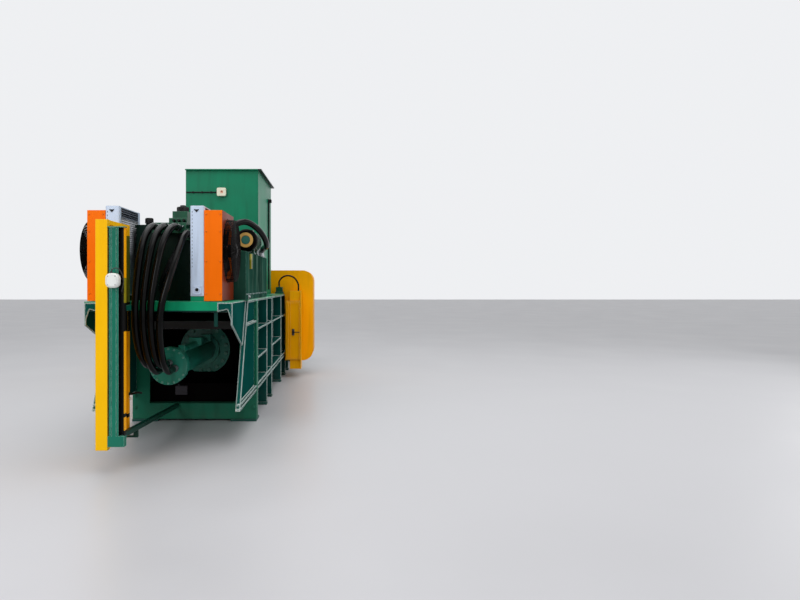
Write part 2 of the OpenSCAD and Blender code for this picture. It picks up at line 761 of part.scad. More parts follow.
// Wire guard in the shape of a shallow drum: rings on its wall and face, tied by bent spokes
wire_r = 4;
module guard_ring(x, r) {
    translate([x, fan_s, fan_z]) rotate([0, 90, 0])
        rotate_extrude() translate([r, 0]) circle(r = wire_r, $fn = 6);
}
module wire_guard() {
    face_rings = 5;
    spokes = 12;
    base = shroud_out + wire_r;
    far = fan_hole / 2 + 20;
    near = motor_r + 10.2 + wire_r;
    for (x = [0, drum / 2]) guard_ring(base + x, far);
    for (i = [0 : face_rings]) guard_ring(base + drum, far - (far - near) * i / face_rings);
    for (k = [0 : spokes - 1]) {
        translate([base, fan_s, fan_z]) rotate([360 * (k + 0.5) / spokes, 0, 0]) {
            translate([0, 0, far]) rotate([0, 90, 0]) rotate([0, 0, 30])
                cylinder(r = wire_r, h = drum, $fn = 6);
            translate([drum, 0, near]) cylinder(r = wire_r, h = far - near, $fn = 6);
        }
    }
}
module fan_guards() at_rear() color(rubber_black) beside() wire_guard();

// Fan motor held by the guard's inner ring
module fan_motor() {
    rod_x(shroud_out + 4, fan_s, fan_z, motor_r, drum + 18);
    rod_x(shroud_out + drum, fan_s, fan_z, motor_r + 10, 8);
    rod_x(shroud_out - 62, fan_s, fan_z, 12, 70);
}
module cooler_motors() at_rear() color(rubber_black) beside() fan_motor();

// Fan wheel: bored hub and twisted blades
module fan() {
    hub_l = 44;
    translate([shroud_out - 54, fan_s, fan_z]) rotate([0, 90, 0]) {
        difference() {
            cylinder(r = hub_r, h = hub_l);
            translate([0, 0, -1]) cylinder(r = 12 + run_gap, h = hub_l + 2);
        }
        for (k = [0 : blades - 1]) {
            rotate([0, 0, 360 * k / blades]) translate([hub_r - 6, 0, hub_l / 2]) rotate([0, 90, 0])
                rotate([0, 0, 58])
                linear_extrude(height = fan_r - hub_r + 6, twist = 22, slices = 5, segments = 6)
                    polygon([[-26, -1.5], [0, -5], [26, -2], [26, 1], [0, -1], [-26, 1.5]]);
        }
    }
}
module cooler_fan_right() at_rear() color(rubber_black) translate([cooler_off, 0, 0]) fan();
module cooler_fan_left() at_rear() color(rubber_black) translate([cooler_off, 0, 0]) mirror([1, 0, 0]) fan();

// Outrigger of the rear guard: post with its cable channel, foot rail to the sill and stay to the platform
module guard_post() at_rear() color(paint) {
    x1 = post_x + post_w;
    depth = 60;
    web = 15;
    foot_top = post_low + 90;
    land = [post_x + 12, post_x + 92];
    block([post_x, guard_s + depth - web, post_low], [x1, guard_s + depth, post_top]);
    block([x1 - 5, guard_s + 12, post_low], [x1, guard_s + depth, post_top]);
    block([post_x, guard_s, post_low], [x1, guard_s + depth, foot_top]);
    difference() {
        block([land[0], guard_s, foot_top], [land[1], guard_s + depth - web, post_top]);
        for (x = [land[0] + 16, land[1] - 22]) {
            block([x, guard_s - 1, foot_top], [x + 6, guard_s + 6, post_top + 1]);
        }
    }
    block([post_x - 1, guard_s - 6, post_top], [x1 + 6, guard_s + depth + 6, post_top + 10]);
    // Rail that falls from the post's foot to the portal's sill
    slab_x(post_x + 30, 40, [[guard_s + depth - 5, post_low + 35], [0, foot_t + sill_h - 42],
        [0, foot_t + sill_h - 1], [guard_s + depth - 5, post_low + 80]]);
    // Stay under the platform's edge
    block([post_x, guard_s + depth - 10, top_z - 65], [post_x + 40, -deck_back, top_z - 15]);
    // Hinge pins with their arms
    translate([hinge_x, hinge_s, hinge_low]) {
        cylinder(r = 16, h = 15);
        cylinder(r = 10, h = 60);
    }
    block([hinge_x, hinge_s - 16, hinge_low], [post_x + 70, hinge_s + 16, hinge_low + 15]);
    block([post_x + 30, hinge_s - 16, hinge_low], [post_x + 70, hinge_s + 16, hinge_low + 80]);
    translate([hinge_x, hinge_s, top_z - 55]) {
        cylinder(r = 16, h = 15);
        cylinder(r = 10, h = 55);
    }
    block([hinge_x - 16, hinge_s, top_z - 55], [hinge_x + 16, -deck_back, top_z - 40]);
}

// Guard door: boxed frame with a sheet panel, hung on two pins
module guard_door() at_rear() color(guard_yellow) {
    x1 = leaf_x + leaf_w;
    stile = 55;
    block([leaf_x, guard_s, leaf_low], [x1, guard_s + stile, leaf_top]);
    block([leaf_x, leaf_end - stile, leaf_low], [x1, leaf_end, leaf_top]);
    for (z = [leaf_low, leaf_top - 40]) block([leaf_x + 10, guard_s, z], [x1 - 10, leaf_end, z + 40]);
    block([leaf_x + 48, guard_s + stile, leaf_low + 40], [leaf_x + 52, leaf_end - stile, leaf_top - 40]);
    for (z = [leaf_low + 2, top_z - 35]) {
        difference() {
            union() {
                translate([hinge_x, hinge_s, z]) cylinder(r = 16, h = 20);
                block([hinge_x, leaf_end - 20, z], [leaf_x + 5, hinge_s, z + 20]);
            }
            translate([hinge_x, hinge_s, z - 1]) cylinder(r = 10 + run_gap, h = 22);
        }
    }
}

// Door switch: rounded box on its pad
module interlock_switch() at_rear() color("white") {
    r = 34;
    x0 = post_x - 1;
    x1 = x0 + 132;
    z0 = 1555;
    z1 = z0 + 124;
    block([post_x + 14, guard_s - 9, z0 + 15], [post_x + 90, guard_s, z1 - 15]);
    translate([0, guard_s - 9, 0]) rotate([90, 0, 0]) linear_extrude(62) {
        translate([x0, z0 + r]) square([x1 - x0, z1 - z0 - 2 * r]);
        translate([x0 + r, z0]) square([x1 - x0 - 2 * r, z1 - z0]);
        for (x = [x0 + r, x1 - r], z = [z0 + r, z1 - r]) translate([x, z]) circle(r = r);
    }
}

// Fill-level sensor on the tower's rear face, with its conduit, and the conduit down the right side
sensor_z = hopper_top - 327;
sensor_w = 130;
sensor_h = 124;
conduit = 16;
conduit_s = hopper_s + hopper_l * 0.75 - 30;
module hopper_sensors() at_rear() color("#e8e2c8") {
    hx = hopper_w / 2;
    conduit_top = sensor_z;
    block([-sensor_w / 2, hopper_s - 70, sensor_z - sensor_h / 2],
        [sensor_w / 2, hopper_s, sensor_z + sensor_h / 2]);
    block([-hx, hopper_s - conduit - 6, sensor_z - conduit / 2],
        [-sensor_w / 2, hopper_s, sensor_z + conduit / 2]);
    block([hx, conduit_s, top_z + 90], [hx + conduit + 10, conduit_s + 35, conduit_top]);
    block([hx, conduit_s - 15, conduit_top], [hx + 60, conduit_s + 50, conduit_top + 70]);
}

// A rounded rectangle of exact arcs
module round_rect(x0, z0, x1, z1, r) {
    translate([x0 + r, z0]) square([x1 - x0 - 2 * r, z1 - z0]);
    translate([x0, z0 + r]) square([x1 - x0, z1 - z0 - 2 * r]);
    for (x = [x0 + r, x1 - r], z = [z0 + r, z1 - r]) translate([x, z]) circle(r = r);
}

// Outline of the tying unit's guard, grown by g: a portal over the body and the needle tunnel
module guard_outline(g) {
    difference() {
        union() {
            round_rect(-guard_half - g, guard_low - g, guard_half + g, guard_top + g, guard_r + g);
            translate([rail_end - 30 - g, tunnel[0] - g])
                square([-guard_half + 200 - rail_end + 30, tunnel[1] - tunnel[0] + 2 * g]);
        }
        translate([-half_w, 0]) square([body_w, top_z]);
    }
}

module guard_hollow() {
    inner = guard_half - guard_t;
    round_rect(-inner, guard_low + guard_t, inner, guard_top - guard_t, guard_r - guard_t);
    translate([rail_end - 30 + guard_t, tunnel[0] + guard_t])
        square([-guard_half + 200 - rail_end + 30, tunnel[1] - tunnel[0] - 2 * guard_t]);
}

// Sheet guard over the tying unit, its faces standing proud as a rolled lip
module tie_guard() at_rear() color("#f0a800") {
    far = tie_guard_s + tie_guard_l;
    difference() {
        union() {
            translate([0, far, 0]) rotate([90, 0, 0]) linear_extrude(tie_guard_l) guard_outline(0);
            for (s = [tie_guard_s + 16, far]) {
                translate([0, s, 0]) rotate([90, 0, 0]) linear_extrude(16) guard_outline(10);
            }
        }
        translate([0, far - guard_t, 0]) rotate([90, 0, 0])
            linear_extrude(tie_guard_l - 2 * guard_t) guard_hollow();
    }
}

// Beam over the roof with the needle rails on the left and the twister bearings on the right
module tie_frame() at_rear() color(paint) {
    s0 = tie_s - 60;
    s1 = tie_s + 60;
    plate = half_w + 20;
    right = half_w + 270;
    difference() {
        union() {
            block([-plate - 20, s0, top_z], [right + 20, s1, top_z + 60]);
            block([-plate - 20, s0, rail_z[0] - 50], [-plate, s1, top_z]);
            block([right, s0, rail_z[0] - 50], [right + 20, s1, top_z]);
            for (z = [rail_z[0] - 20, rail_z[1] - 30]) block([twist_x - 40, s0, z], [right, s1, z + 30]);
            for (z = rail_z) rod_x(rail_end, tie_s, z, rail_r, -plate - 10 - rail_end);
            block([rail_end - 20, tie_s - 40, rail_z[0] - 40], [rail_end, tie_s + 40, rail_z[1] + 40]);
        }
        for (i = [0 : needle_n - 1]) {
            rod_x(-plate - 21, tie_s, needle_z + i * needle_pitch, needle_d / 2 + 3, 22);
        }
        translate([twist_x, tie_s, rail_z[0] - 60]) cylinder(r = 20 + run_gap, h = rail_z[1] - rail_z[0] + 100);
    }
}

// Carriage plate on two bushes, with the four needles
module needle_carriage() at_rear() color(bare_steel) {
    plate = 30;
    difference() {
        union() {
            block([carriage_x - plate, tie_s - 45, rail_z[0] - 45], [carriage_x, tie_s + 45, rail_z[1] + 45]);
            for (z = rail_z) rod_x(carriage_x - plate - 20, tie_s, z, 42, plate + 40);
        }
        for (z = rail_z) rod_x(carriage_x - plate - 21, tie_s, z, rail_r + run_gap, plate + 42);
    }
    for (i = [0 : needle_n - 1]) {
        z = needle_z + i * needle_pitch;
        rod_x(carriage_x - 5, tie_s, z, needle_d / 2, needle_l - 55);
        difference() {
            translate([needle_tip - 60, tie_s, z]) rotate([0, 90, 0])
                cylinder(r1 = needle_d / 2, r2 = 5, h = 60);
            translate([needle_tip - 45, tie_s, z - 30]) cylinder(r = 4, h = 60);
        }
    }
}

// Upright drive shaft with four wire-twisting heads
module twister_shaft() at_rear() color(bare_steel) {
    low = rail_z[0] - 35;
    translate([twist_x, tie_s, low]) cylinder(r = 20, h = rail_z[1] + 30 - low);
    for (i = [0 : needle_n - 1]) {
        z = needle_z + i * needle_pitch;
        difference() {
            translate([twist_x, tie_s, z - 20]) cylinder(r = 62, h = 40);
            for (a = [0, 120, 240]) {
                translate([twist_x, tie_s, z - 21]) rotate([0, 0, a]) translate([30, -8, 0]) cube([40, 16, 42]);
            }
        }
    }
}

door_x = cab_x + cab_w - 8;
door_s = cab_s - 10;
// Narrow wire cabinet beside the wall, open to the rear for its door
module tie_cabinet() at_rear() color("#f0a800") {
    x1 = cab_x + cab_w;
    t = 5;
    difference() {
        block([cab_x, cab_s, cab_low], [x1, cab_s + cab_l, cab_top]);
        block([cab_x + t, cab_s - 1, cab_low + t], [x1 - t, cab_s + cab_l - t, cab_top - t]);
    }
    block([x1 - 10, cab_s, 152], [x1, cab_s + cab_l, 1478]);
    block([cab_x + 70, cab_s + 20, cab_top], [x1, cab_s + cab_l, 1478]);
    block([cab_x + 70, cab_s + 20, 152], [x1, cab_s + cab_l, cab_low]);
    // Hinge pins of the door with their lugs
    for (z = [cab_low + 120, cab_top - 180]) {
        translate([door_x, door_s, z - 25]) cylinder(r = 8, h = 25);
        translate([door_x, door_s, z - 25]) cylinder(r = 4, h = 90);
        block([door_x - 8, door_s, z - 25], [door_x + 8, cab_s + 2, z]);
    }
    // Brackets to the wall's rib
    block([half_w, cab_s + 100, 1050], [cab_x, cab_s + 160, 1070]);
    block([half_w, cab_s + 100, wall_z + 50], [cab_x, cab_s + 160, wall_z + 70]);
}

// Cabinet door on two hinge knuckles at its right edge
module tie_door() at_rear() color("#f0a800") {
    difference() {
        union() {
            block([cab_x + 6, cab_s - 7, cab_low + 8], [door_x - 9, cab_s - 1, cab_top - 8]);
            for (z = [cab_low + 120, cab_top - 180]) {
                translate([door_x, door_s, z]) cylinder(r = 8, h = 60);
                block([door_x - 20, door_s, z], [door_x, door_s + 8, z + 60]);
            }
        }
        for (z = [cab_low + 120, cab_top - 180])
            translate([door_x, door_s, z - 1]) cylinder(r = 4 + run_gap, h = 62);
    }
}

latch_x = cab_x + 130;
latch_z = 780;
// Lever of the cabinet door
module tie_latch() at_rear() color(rubber_black) {
    rotate_at = [latch_x, cab_s - 7, latch_z];
    translate(rotate_at) rotate([90, 0, 0]) {
        cylinder(r = 16, h = 20);
        translate([-10, -9, 12]) cube([120, 18, 10]);
    }
}

// Valve bank of the tying unit on the wall's top
module tie_valves() at_rear() color(teal) {
    bank = 70;
    valve_h = valve_top - top_z;
    block([valve_x - bank, valve_s - 60, top_z], [valve_x + bank, valve_s + 150, top_z + 45]);
    for (s = [valve_s - 40, valve_s + 40]) {
        block([valve_x - bank + 15, s, top_z + 45], [valve_x + bank - 15, s + 50, top_z + valve_h]);
    }
    translate([valve_x, valve_s, valve_top]) cylinder(r = 16, h = 15);
    block([valve_x - 30, valve_s - 20, top_z + 45], [valve_x + 30, valve_s + 20, valve_top]);
}

// Frame of the bale channel: floor, roof, three ring frames and the flap hinge pins
module bale_channel() at_rear() color(paint) {
    floor_low = floor_z - plate_t;
    ring_s = [chamber_end, mid_ring_s, channel_end - ring_l];
    ring_in = half_w - ring_col;
    difference() {
        union() {
            block([-half_w, chamber_end, floor_low], [half_w, channel_end, floor_z]);
            block([-half_w, chamber_end, roof_z], [half_w, channel_end, roof_z + plate_t]);
            both_sides() block([180, chamber_end, roof_z + plate_t], [200, channel_end, roof_z + 110]);
        }
        block([-30, wheel_s - 130, roof_z - 1], [30, wheel_s + 130, roof_z + plate_t + 1]);
    }
    for (s = ring_s) {
        both_sides() block([ring_in, s, floor_low - 100], [half_w, s + ring_l, roof_z + 120]);
        block([-half_w, s, roof_z + plate_t], [half_w, s + ring_l, roof_z + 120]);
        block([-half_w, s, floor_low - 100], [half_w, s + ring_l, floor_low]);
    }
    // Legs on the base tubes and at the front anchors
    both_sides() {
        for (s = [mid_ring_s, channel_end - ring_l]) {
            block([long_x, s, foot_t + long_h], [long_x + long_w, s + ring_l - 10, floor_low - 100]);
        }
        block([half_w - 110, front_anchor_s - 120, foot_t], [half_w, front_anchor_s - 60, floor_low]);
        translate([flap_hinge_x, flap_hinge_s, floor_z]) cylinder(r = flap_pin_r, h = chan_h);
        difference() {
            block([ring_in, clamp_s - 110, clamp_z - 120],
                [ring_in + ring_col / 2, clamp_s + 110, clamp_z + 120]);
            rod_x(ring_in - 1, clamp_s, clamp_z, clamp_r + 2, ring_col / 2 + 2);
        }
        for (z = [clamp_z - 120, clamp_z + 95]) {
            block([ring_in, mid_ring_s + ring_l, z], [ring_in + ring_col / 2, channel_end - ring_l, z + 25]);
        }
    }
    // Cheeks of the measuring wheel
    both_sides() difference() {
        block([45, wheel_s - 60, roof_z + plate_t], [60, wheel_s + 60, wheel_z + 40]);
        rod_x(44, wheel_s, wheel_z, 15 + run_gap, 17);
    }
}

// Side flap with its hinge barrel, ribs and the pad that the clamp pushes
module side_flap() {
    low = floor_z + 6;
    high = roof_z - 6;
    difference() {
        union() {
            block([in_x, flap_hinge_s - 40, low], [out_x, flap_end, high]);
            translate([flap_hinge_x, flap_hinge_s, low]) cylinder(r = flap_knuckle_r, h = high - low);
            block([out_x - 2, flap_hinge_s - flap_knuckle_r, low],
                [flap_hinge_x, flap_hinge_s + flap_knuckle_r, high]);
            for (z = [low + 174, high - 184])
                block([out_x, flap_hinge_s, z], [out_x + flap_rib, flap_end, z + 16]);
            block([out_x, clamp_s - 70, clamp_z - 70], [out_x + flap_pad, clamp_s + 70, clamp_z + 70]);
        }
        translate([flap_hinge_x, flap_hinge_s, low - 1]) cylinder(r = flap_pin_r + run_gap, h = high - low + 2);
    }
}
module side_flap_right() at_rear() color(teal) side_flap();
module side_flap_left() at_rear() color(teal) mirror([1, 0, 0]) side_flap();

// Clamp cylinders on the side beams
module clamp_cylinder() {
    base_x = half_w - ring_col / 2;
    difference() {
        union() {
            rod_x(base_x, clamp_s, clamp_z, 60, 260);
            rod_x(base_x, clamp_s, clamp_z, 85, 25);
        }
        rod_x(base_x - 1, clamp_s, clamp_z, clamp_r + run_gap, 241);
    }
}
module clamp_cylinders() at_rear() color(paint) both_sides() clamp_cylinder();

// Clamp rod with its domed nose on the flap's pad
module clamp_rod() {
    nose = out_x + flap_pad + 0.5 + clamp_r;
    rod_x(nose, clamp_s, clamp_z, clamp_r, half_w + 100 - nose);
    translate([nose, clamp_s, clamp_z]) sphere(r = clamp_r);
}
module clamp_rod_right() at_rear() color(bare_steel) clamp_rod();
module clamp_rod_left() at_rear() color(bare_steel) mirror([1, 0, 0]) clamp_rod();

// Star wheel that rolls on the bale
module measuring_wheel() at_rear() color(guard_yellow) {
    teeth = 12;
    translate([0, wheel_s, wheel_z]) rotate([90, 0, 90]) translate([0, 0, -5]) linear_extrude(10)
        polygon([for (i = [0 : 2 * teeth - 1])
            let (r = i % 2 == 0 ? wheel_r : wheel_r - 32, a = 180 * i / teeth) [r * cos(a), r * sin(a)]]);
    rod_x(-70, wheel_s, wheel_z, 15, 140);
}

// The ram: grooved face bars on a back plate, side plates, floor plate and the long top skirt
module ram() at_rear() color(bare_steel) {
    skirt_low = ram_top - skirt_t;
    skirt_s = ram_face - skirt_l;
    difference() {
        union() {
            block([-ram_half, ram_back, ram_low], [ram_half, ram_face, ram_top]);
            both_sides() block([ram_half - 20, ram_tail, ram_low], [ram_half, ram_back + 1, ram_top]);
            block([-ram_half, ram_tail, ram_low], [ram_half, ram_back + 1, ram_low + 25]);
            block([-ram_half, skirt_s, skirt_low], [ram_half, ram_back + 1, ram_top]);
            both_sides() block([470, skirt_s, skirt_low - 60], [490, ram_tail, skirt_low]);
            block([-ram_half, skirt_s, skirt_low - 60], [ram_half, skirt_s + 60, skirt_low]);
        }
        for (i = [0 : needle_n - 1]) {
            z = needle_z + i * needle_pitch;
            block([-ram_half - 1, groove_s, z - groove_h / 2], [ram_half + 1, ram_face + 1, z + groove_h / 2]);
        }
        block([-ram_half - 1, ram_face - blade_w, ram_top - blade_t],
            [ram_half + 1, ram_face + 1, ram_top + 1]);
    }
}

// Moving shear blade in the recess of the ram's top edge
module ram_blade() at_rear() color("#b8bcc0") {
    difference() {
        block([-ram_half, ram_face - blade_w, ram_top - blade_t], [ram_half, ram_face, ram_top + 1]);
        for (x = [-450 : 180 : 450]) {
            translate([x, ram_face - blade_w / 2, ram_top - blade_t - 1]) cylinder(d = 20, h = blade_t + 3);
        }
    }
}

// Rod with its piston and the flange on the ram's back plate
module ram_rod() at_rear() color("#d8dade") {
    rod_s(0, piston_s, cyl_z, bore_d / 2 - run_gap, piston_l);
    rod_s(0, piston_s, cyl_z, rod_d / 2, ram_back - piston_s);
    rod_s(0, ram_back - 35, cyl_z, 170, 35);
}

module main_hose(i) {
    sweep_tube([for (p = hose_profile) [hose_x(i, p[2]), p[0], hose_z(i, p[1], p[2])]], hose_d);
}
module hose_1() at_rear() color(rubber_black) main_hose(0);
module hose_2() at_rear() color(rubber_black) main_hose(1);
module hose_3() at_rear() color(rubber_black) main_hose(2);
module hose_4() at_rear() color(rubber_black) sweep_tube([for (p = last_hose) [p[1], p[0], p[2]]], hose_d);
module drain_hose() at_rear() color(rubber_black) sweep_tube(drain_run, 40);
module motor_hose() at_rear() color(rubber_black) sweep_tube(motor_run, 70);
module switch_cable() at_rear() color("#55585c") sweep_tube(switch_run, 8);
module tie_hose() at_rear() color(rubber_black) sweep_tube(tie_run, 28);

base_frame();
chamber_floor();
wall_left();
wall_right();
chamber_roof();
rear_portal();
deck();
bulkhead();
hopper();
fixed_blade();
barrel();
cylinder_cap();
cylinder_bolts();
mount_flange();
side_pipe();
hose_fittings();
manifold();
oil_tank();
tank_valves();
filter();
power_cabinet();
level_gauge();
pump_motor();
pump();
cooler_cores();
cooler_shrouds();
fan_guards();
cooler_motors();
guard_post();
interlock_switch();
hopper_sensors();
tie_guard();
tie_frame();
tie_cabinet();
bale_channel();
clamp_cylinders();
tie_valves();
hose_1();
hose_2();
hose_3();
hose_4();
drain_hose();
motor_hose();
switch_cable();
tie_hose();
ram();
ram_blade();
ram_rod();
cooler_fan_left();
cooler_fan_right();
guard_door();
tie_door();
tie_latch();
needle_carriage();
side_flap_left();
side_flap_right();
clamp_rod_left();
clamp_rod_right();
measuring_wheel();
twister_shaft();
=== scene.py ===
import math

import bpy
import numpy as np
from mathutils import Matrix


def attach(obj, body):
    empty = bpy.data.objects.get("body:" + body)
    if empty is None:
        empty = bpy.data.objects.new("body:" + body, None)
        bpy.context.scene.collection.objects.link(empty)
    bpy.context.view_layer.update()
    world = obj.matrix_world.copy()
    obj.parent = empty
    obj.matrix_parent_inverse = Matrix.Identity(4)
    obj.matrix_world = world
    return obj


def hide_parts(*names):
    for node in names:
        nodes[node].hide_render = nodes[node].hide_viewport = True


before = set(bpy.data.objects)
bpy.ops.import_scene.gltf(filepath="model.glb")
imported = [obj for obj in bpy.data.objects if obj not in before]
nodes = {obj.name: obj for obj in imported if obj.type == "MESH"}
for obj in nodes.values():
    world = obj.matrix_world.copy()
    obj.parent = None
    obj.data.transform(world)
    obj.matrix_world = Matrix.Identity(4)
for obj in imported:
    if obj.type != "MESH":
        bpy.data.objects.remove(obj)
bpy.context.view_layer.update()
print("frame loaded:", len(nodes), "nodes")

# Stations run along the machine from the rear portal, as in the part's source
portalY = -3.1
rearward, forward, upward = (0, -1, 0), (0, 1, 0), (0, 0, 1)


# A point given across, along the machine and up, in metres
def at(x, station, z):
    return np.array([x, station + portalY, z], float)


view = {"place": (1.70, -10.65, 1.58), "lens": 29.25, "sensor": 36.0, "shift": (0.0738, -0.0188)}
cameraData = bpy.data.cameras.new("camera")
cameraData.lens, cameraData.sensor_width = view["lens"], view["sensor"]
cameraData.shift_x, cameraData.shift_y = view["shift"]  # puts the long edges' vanishing point as framed
camera = bpy.data.objects.new("camera", cameraData)
camera.location = view["place"]
camera.rotation_euler = (math.radians(90), 0, 0)
bpy.context.scene.collection.objects.link(camera)
bpy.context.scene.camera = camera


# Linear colour of a hex string: c/12.92 below 0.04045, otherwise ((c+0.055)/1.055)^2.4
def hexTint(text):
    c = np.array([int(text[i:i + 2], 16) / 255 for i in (1, 3, 5)])
    c = np.where(c <= 0.04045, c / 12.92, ((c + 0.055) / 1.055) ** 2.4)
    return (*c.tolist(), 1.0)


# Adds a shader node, sets its fields and its sockets (in_Name or in_0), and feeds the sockets in links
def node(tree, kind, *links, **values):
    n = tree.nodes.new("ShaderNode" + kind)
    for key, value in values.items():
        if key.startswith("in_"):
            name = key[3:].replace("_", " ")
            socket = n.inputs[int(name)] if name.isdigit() else n.inputs[name]
            socket.default_value = value
        else:
            setattr(n, key, value)
    for socket, source in links:
        tree.links.new(source, n.inputs[socket])
    return n


# An empty group with inputs (name, kind, default) and outputs (name, kind)
def newGroup(name, ins, outs):
    tree = bpy.data.node_groups.new(name, "ShaderNodeTree")
    kinds = {"f": "NodeSocketFloat", "c": "NodeSocketColor", "v": "NodeSocketVector"}
    for label, kind, value in ins:
        s = tree.interface.new_socket(label, in_out="INPUT", socket_type=kinds[kind])
        s.default_value = value
    for label, kind in outs:
        tree.interface.new_socket(label, in_out="OUTPUT", socket_type=kinds[kind])
    return tree, tree.nodes.new("NodeGroupInput").outputs, tree.nodes.new("NodeGroupOutput").inputs


def placeGroup(tree, group, **values):
    n = tree.nodes.new("ShaderNodeGroup")
    n.node_tree = group
    for key, value in values.items():
        n.inputs[key].default_value = value
    return n.outputs


def objectPlace(tree):
    return node(tree, "TexCoord").outputs["Object"]


def noise(tree, place, scale, detail=2.0, **values):
    return node(tree, "TexNoise", (0, place), in_Scale=scale, in_Detail=detail, **values).outputs[0]


# Carries low to high onto the two values in to
def remap(tree, source, low, high, to=(0.0, 1.0)):
    return node(tree, "MapRange", (0, source), in_1=low, in_2=high, in_3=to[0], in_4=to[1]).outputs[0]


# One sum on a socket and a second socket or number
def calc(tree, operation, a, b, clamp=False):
    n = node(tree, "Math", (0, a), operation=operation, use_clamp=clamp)
    if isinstance(b, (int, float)):
        n.inputs[1].default_value = b
    else:
        tree.links.new(b, n.inputs[1])
    return n.outputs[0]


# Edges: where the rounded normal leaves the face's own normal, broken up by noise. The mask tints rubbed
# edges, and on the wall and post paints it is a painted highlight
def makeEdgeWearAndHighlight():
    tree, ins, outs = newGroup("edgeWearAndHighlight", [("Radius", "f", 0.005), ("Breakup", "f", 0.5)],
                               [("Mask", "f"), ("Normal", "v")])
    bevel = node(tree, "Bevel", ("Radius", ins["Radius"]), samples=4).outputs[0]
    flat = node(tree, "NewGeometry").outputs["Normal"]
    turn = node(tree, "VectorMath", (0, bevel), (1, flat), operation="DOT_PRODUCT").outputs["Value"]
    chips = remap(tree, noise(tree, objectPlace(tree), 23.0, 6.0), 0.42, 0.58)
    mixed = node(tree, "Mix", (0, ins["Breakup"]), (3, chips), data_type="FLOAT", in_2=1.0).outputs[0]
    tree.links.new(calc(tree, "MULTIPLY", remap(tree, turn, 0.995, 0.86), mixed), outs["Mask"])
    tree.links.new(bevel, outs["Normal"])
    return tree


# Dirt, and painted reflection: dust is the upward part of the normal times noise, runs are noise drawn out in height
# on upright faces (pale on the housing, where they are painted reflections), splash is dirt that thins out upwards
# from the floor, and tone is slow noise
def makeGrimeAndSheen():
    tree, ins, outs = newGroup("grimeAndSheen", [("Dust", "f", 0.5), ("Runs", "f", 0.3)],
                               [("Dust", "f"), ("Runs", "f"), ("Splash", "f"), ("Tone", "f"), ("Fine", "f")])
    place = objectPlace(tree)
    facing = node(tree, "SeparateXYZ", (0, node(tree, "NewGeometry").outputs["Normal"])).outputs[2]
    height = node(tree, "SeparateXYZ", (0, place)).outputs[2]
    cloud = remap(tree, noise(tree, place, 5.5, 8.0, in_Roughness=0.62), 0.30, 0.72)
    drawn = node(tree, "Mapping", (0, place), in_Scale=(9.0, 9.0, 0.8)).outputs[0]
    streak = remap(tree, noise(tree, drawn, 1.6, 5.0), 0.52, 0.80)
    dust = calc(tree, "MULTIPLY", remap(tree, facing, 0.35, 0.95), cloud)
    runsAndSheen = calc(tree, "MULTIPLY", streak, remap(tree, facing, 0.6, 0.1))
    low = remap(tree, height, 0.42, 0.0, (0.0, 0.55))
    layers = {"Dust": calc(tree, "MULTIPLY", dust, ins["Dust"], True),
              "Runs": calc(tree, "MULTIPLY", runsAndSheen, ins["Runs"], True),
              "Splash": calc(tree, "MULTIPLY", low, cloud, True),
              "Tone": noise(tree, place, 1.3, 3.0), "Fine": noise(tree, place, 210.0)}
    for label, source in layers.items():
        tree.links.new(source, outs[label])
    return tree


edgeWearAndHighlight, grimeAndSheen = makeEdgeWearAndHighlight(), makeGrimeAndSheen()


def startMaterial(name):
    mat = bpy.data.materials.new(name)
    mat.use_nodes = True
    tree = mat.node_tree
    tree.nodes.clear()
    shader = tree.nodes.new("ShaderNodeBsdfPrincipled")
    out = tree.nodes.new("ShaderNodeOutputMaterial")
    tree.links.new(shader.outputs[0], out.inputs[0])
    return mat, tree, shader


# A colour mix: low where factor is 0 and high where it is 1. Each is a socket or a colour
def blend(tree, factor, low, high):
    n = node(tree, "Mix", (0, factor), data_type="RGBA")
    for socket, value in ((6, low), (7, high)):
        if isinstance(value, tuple):
            n.inputs[socket].default_value = value
        else:
            tree.links.new(value, n.inputs[socket])
    return n.outputs[2]


# Covers a shade by colours, each as far as its share says
def layered(tree, shade, layers):
    for share, tint in layers:
        shade = blend(tree, share, shade, hexTint(tint) if isinstance(tint, str) else tint)
    return shade


# One inside the given ranges of Object coordinates and zero outside: a product of steps
def zoneMask(tree, zone):
    axes = node(tree, "SeparateXYZ", (0, objectPlace(tree))).outputs
    mask = None
    for axis, (low, high) in zone.items():
        for edge, kind in ((low, "GREATER_THAN"), (high, "LESS_THAN")):
            step = calc(tree, kind, axes["XYZ".index(axis)], edge)
            mask = step if mask is None else calc(tree, "MULTIPLY", mask, step)
    return mask


def scaled(colour, share, add=0.0):
    return tuple(min(1.0, c * share + add) for c in colour[:3]) + (1.0,)


# Feeds the shader: dust dulls the gloss, and bump is (height, strength, distance) on the worn normal
def feedShader(tree, shader, shade, gloss, bump=None, wearAndHighlight=None, dirt=None, **levels):
    tree.links.new(shade, shader.inputs["Base Color"])
    matt = gloss if dirt is None else calc(tree, "ADD", gloss, dirt["Dust"], True)
    tree.links.new(matt, shader.inputs["Roughness"])
    if bump:
        links = [("Height", bump[0])] + ([] if wearAndHighlight is None else [("Normal", wearAndHighlight["Normal"])])
        relief = node(tree, "Bump", *links, in_Strength=bump[1], in_Distance=bump[2])
        tree.links.new(relief.outputs[0], shader.inputs["Normal"])
    for label, value in levels.items():
        shader.inputs[label.replace("_", " ")].default_value = value
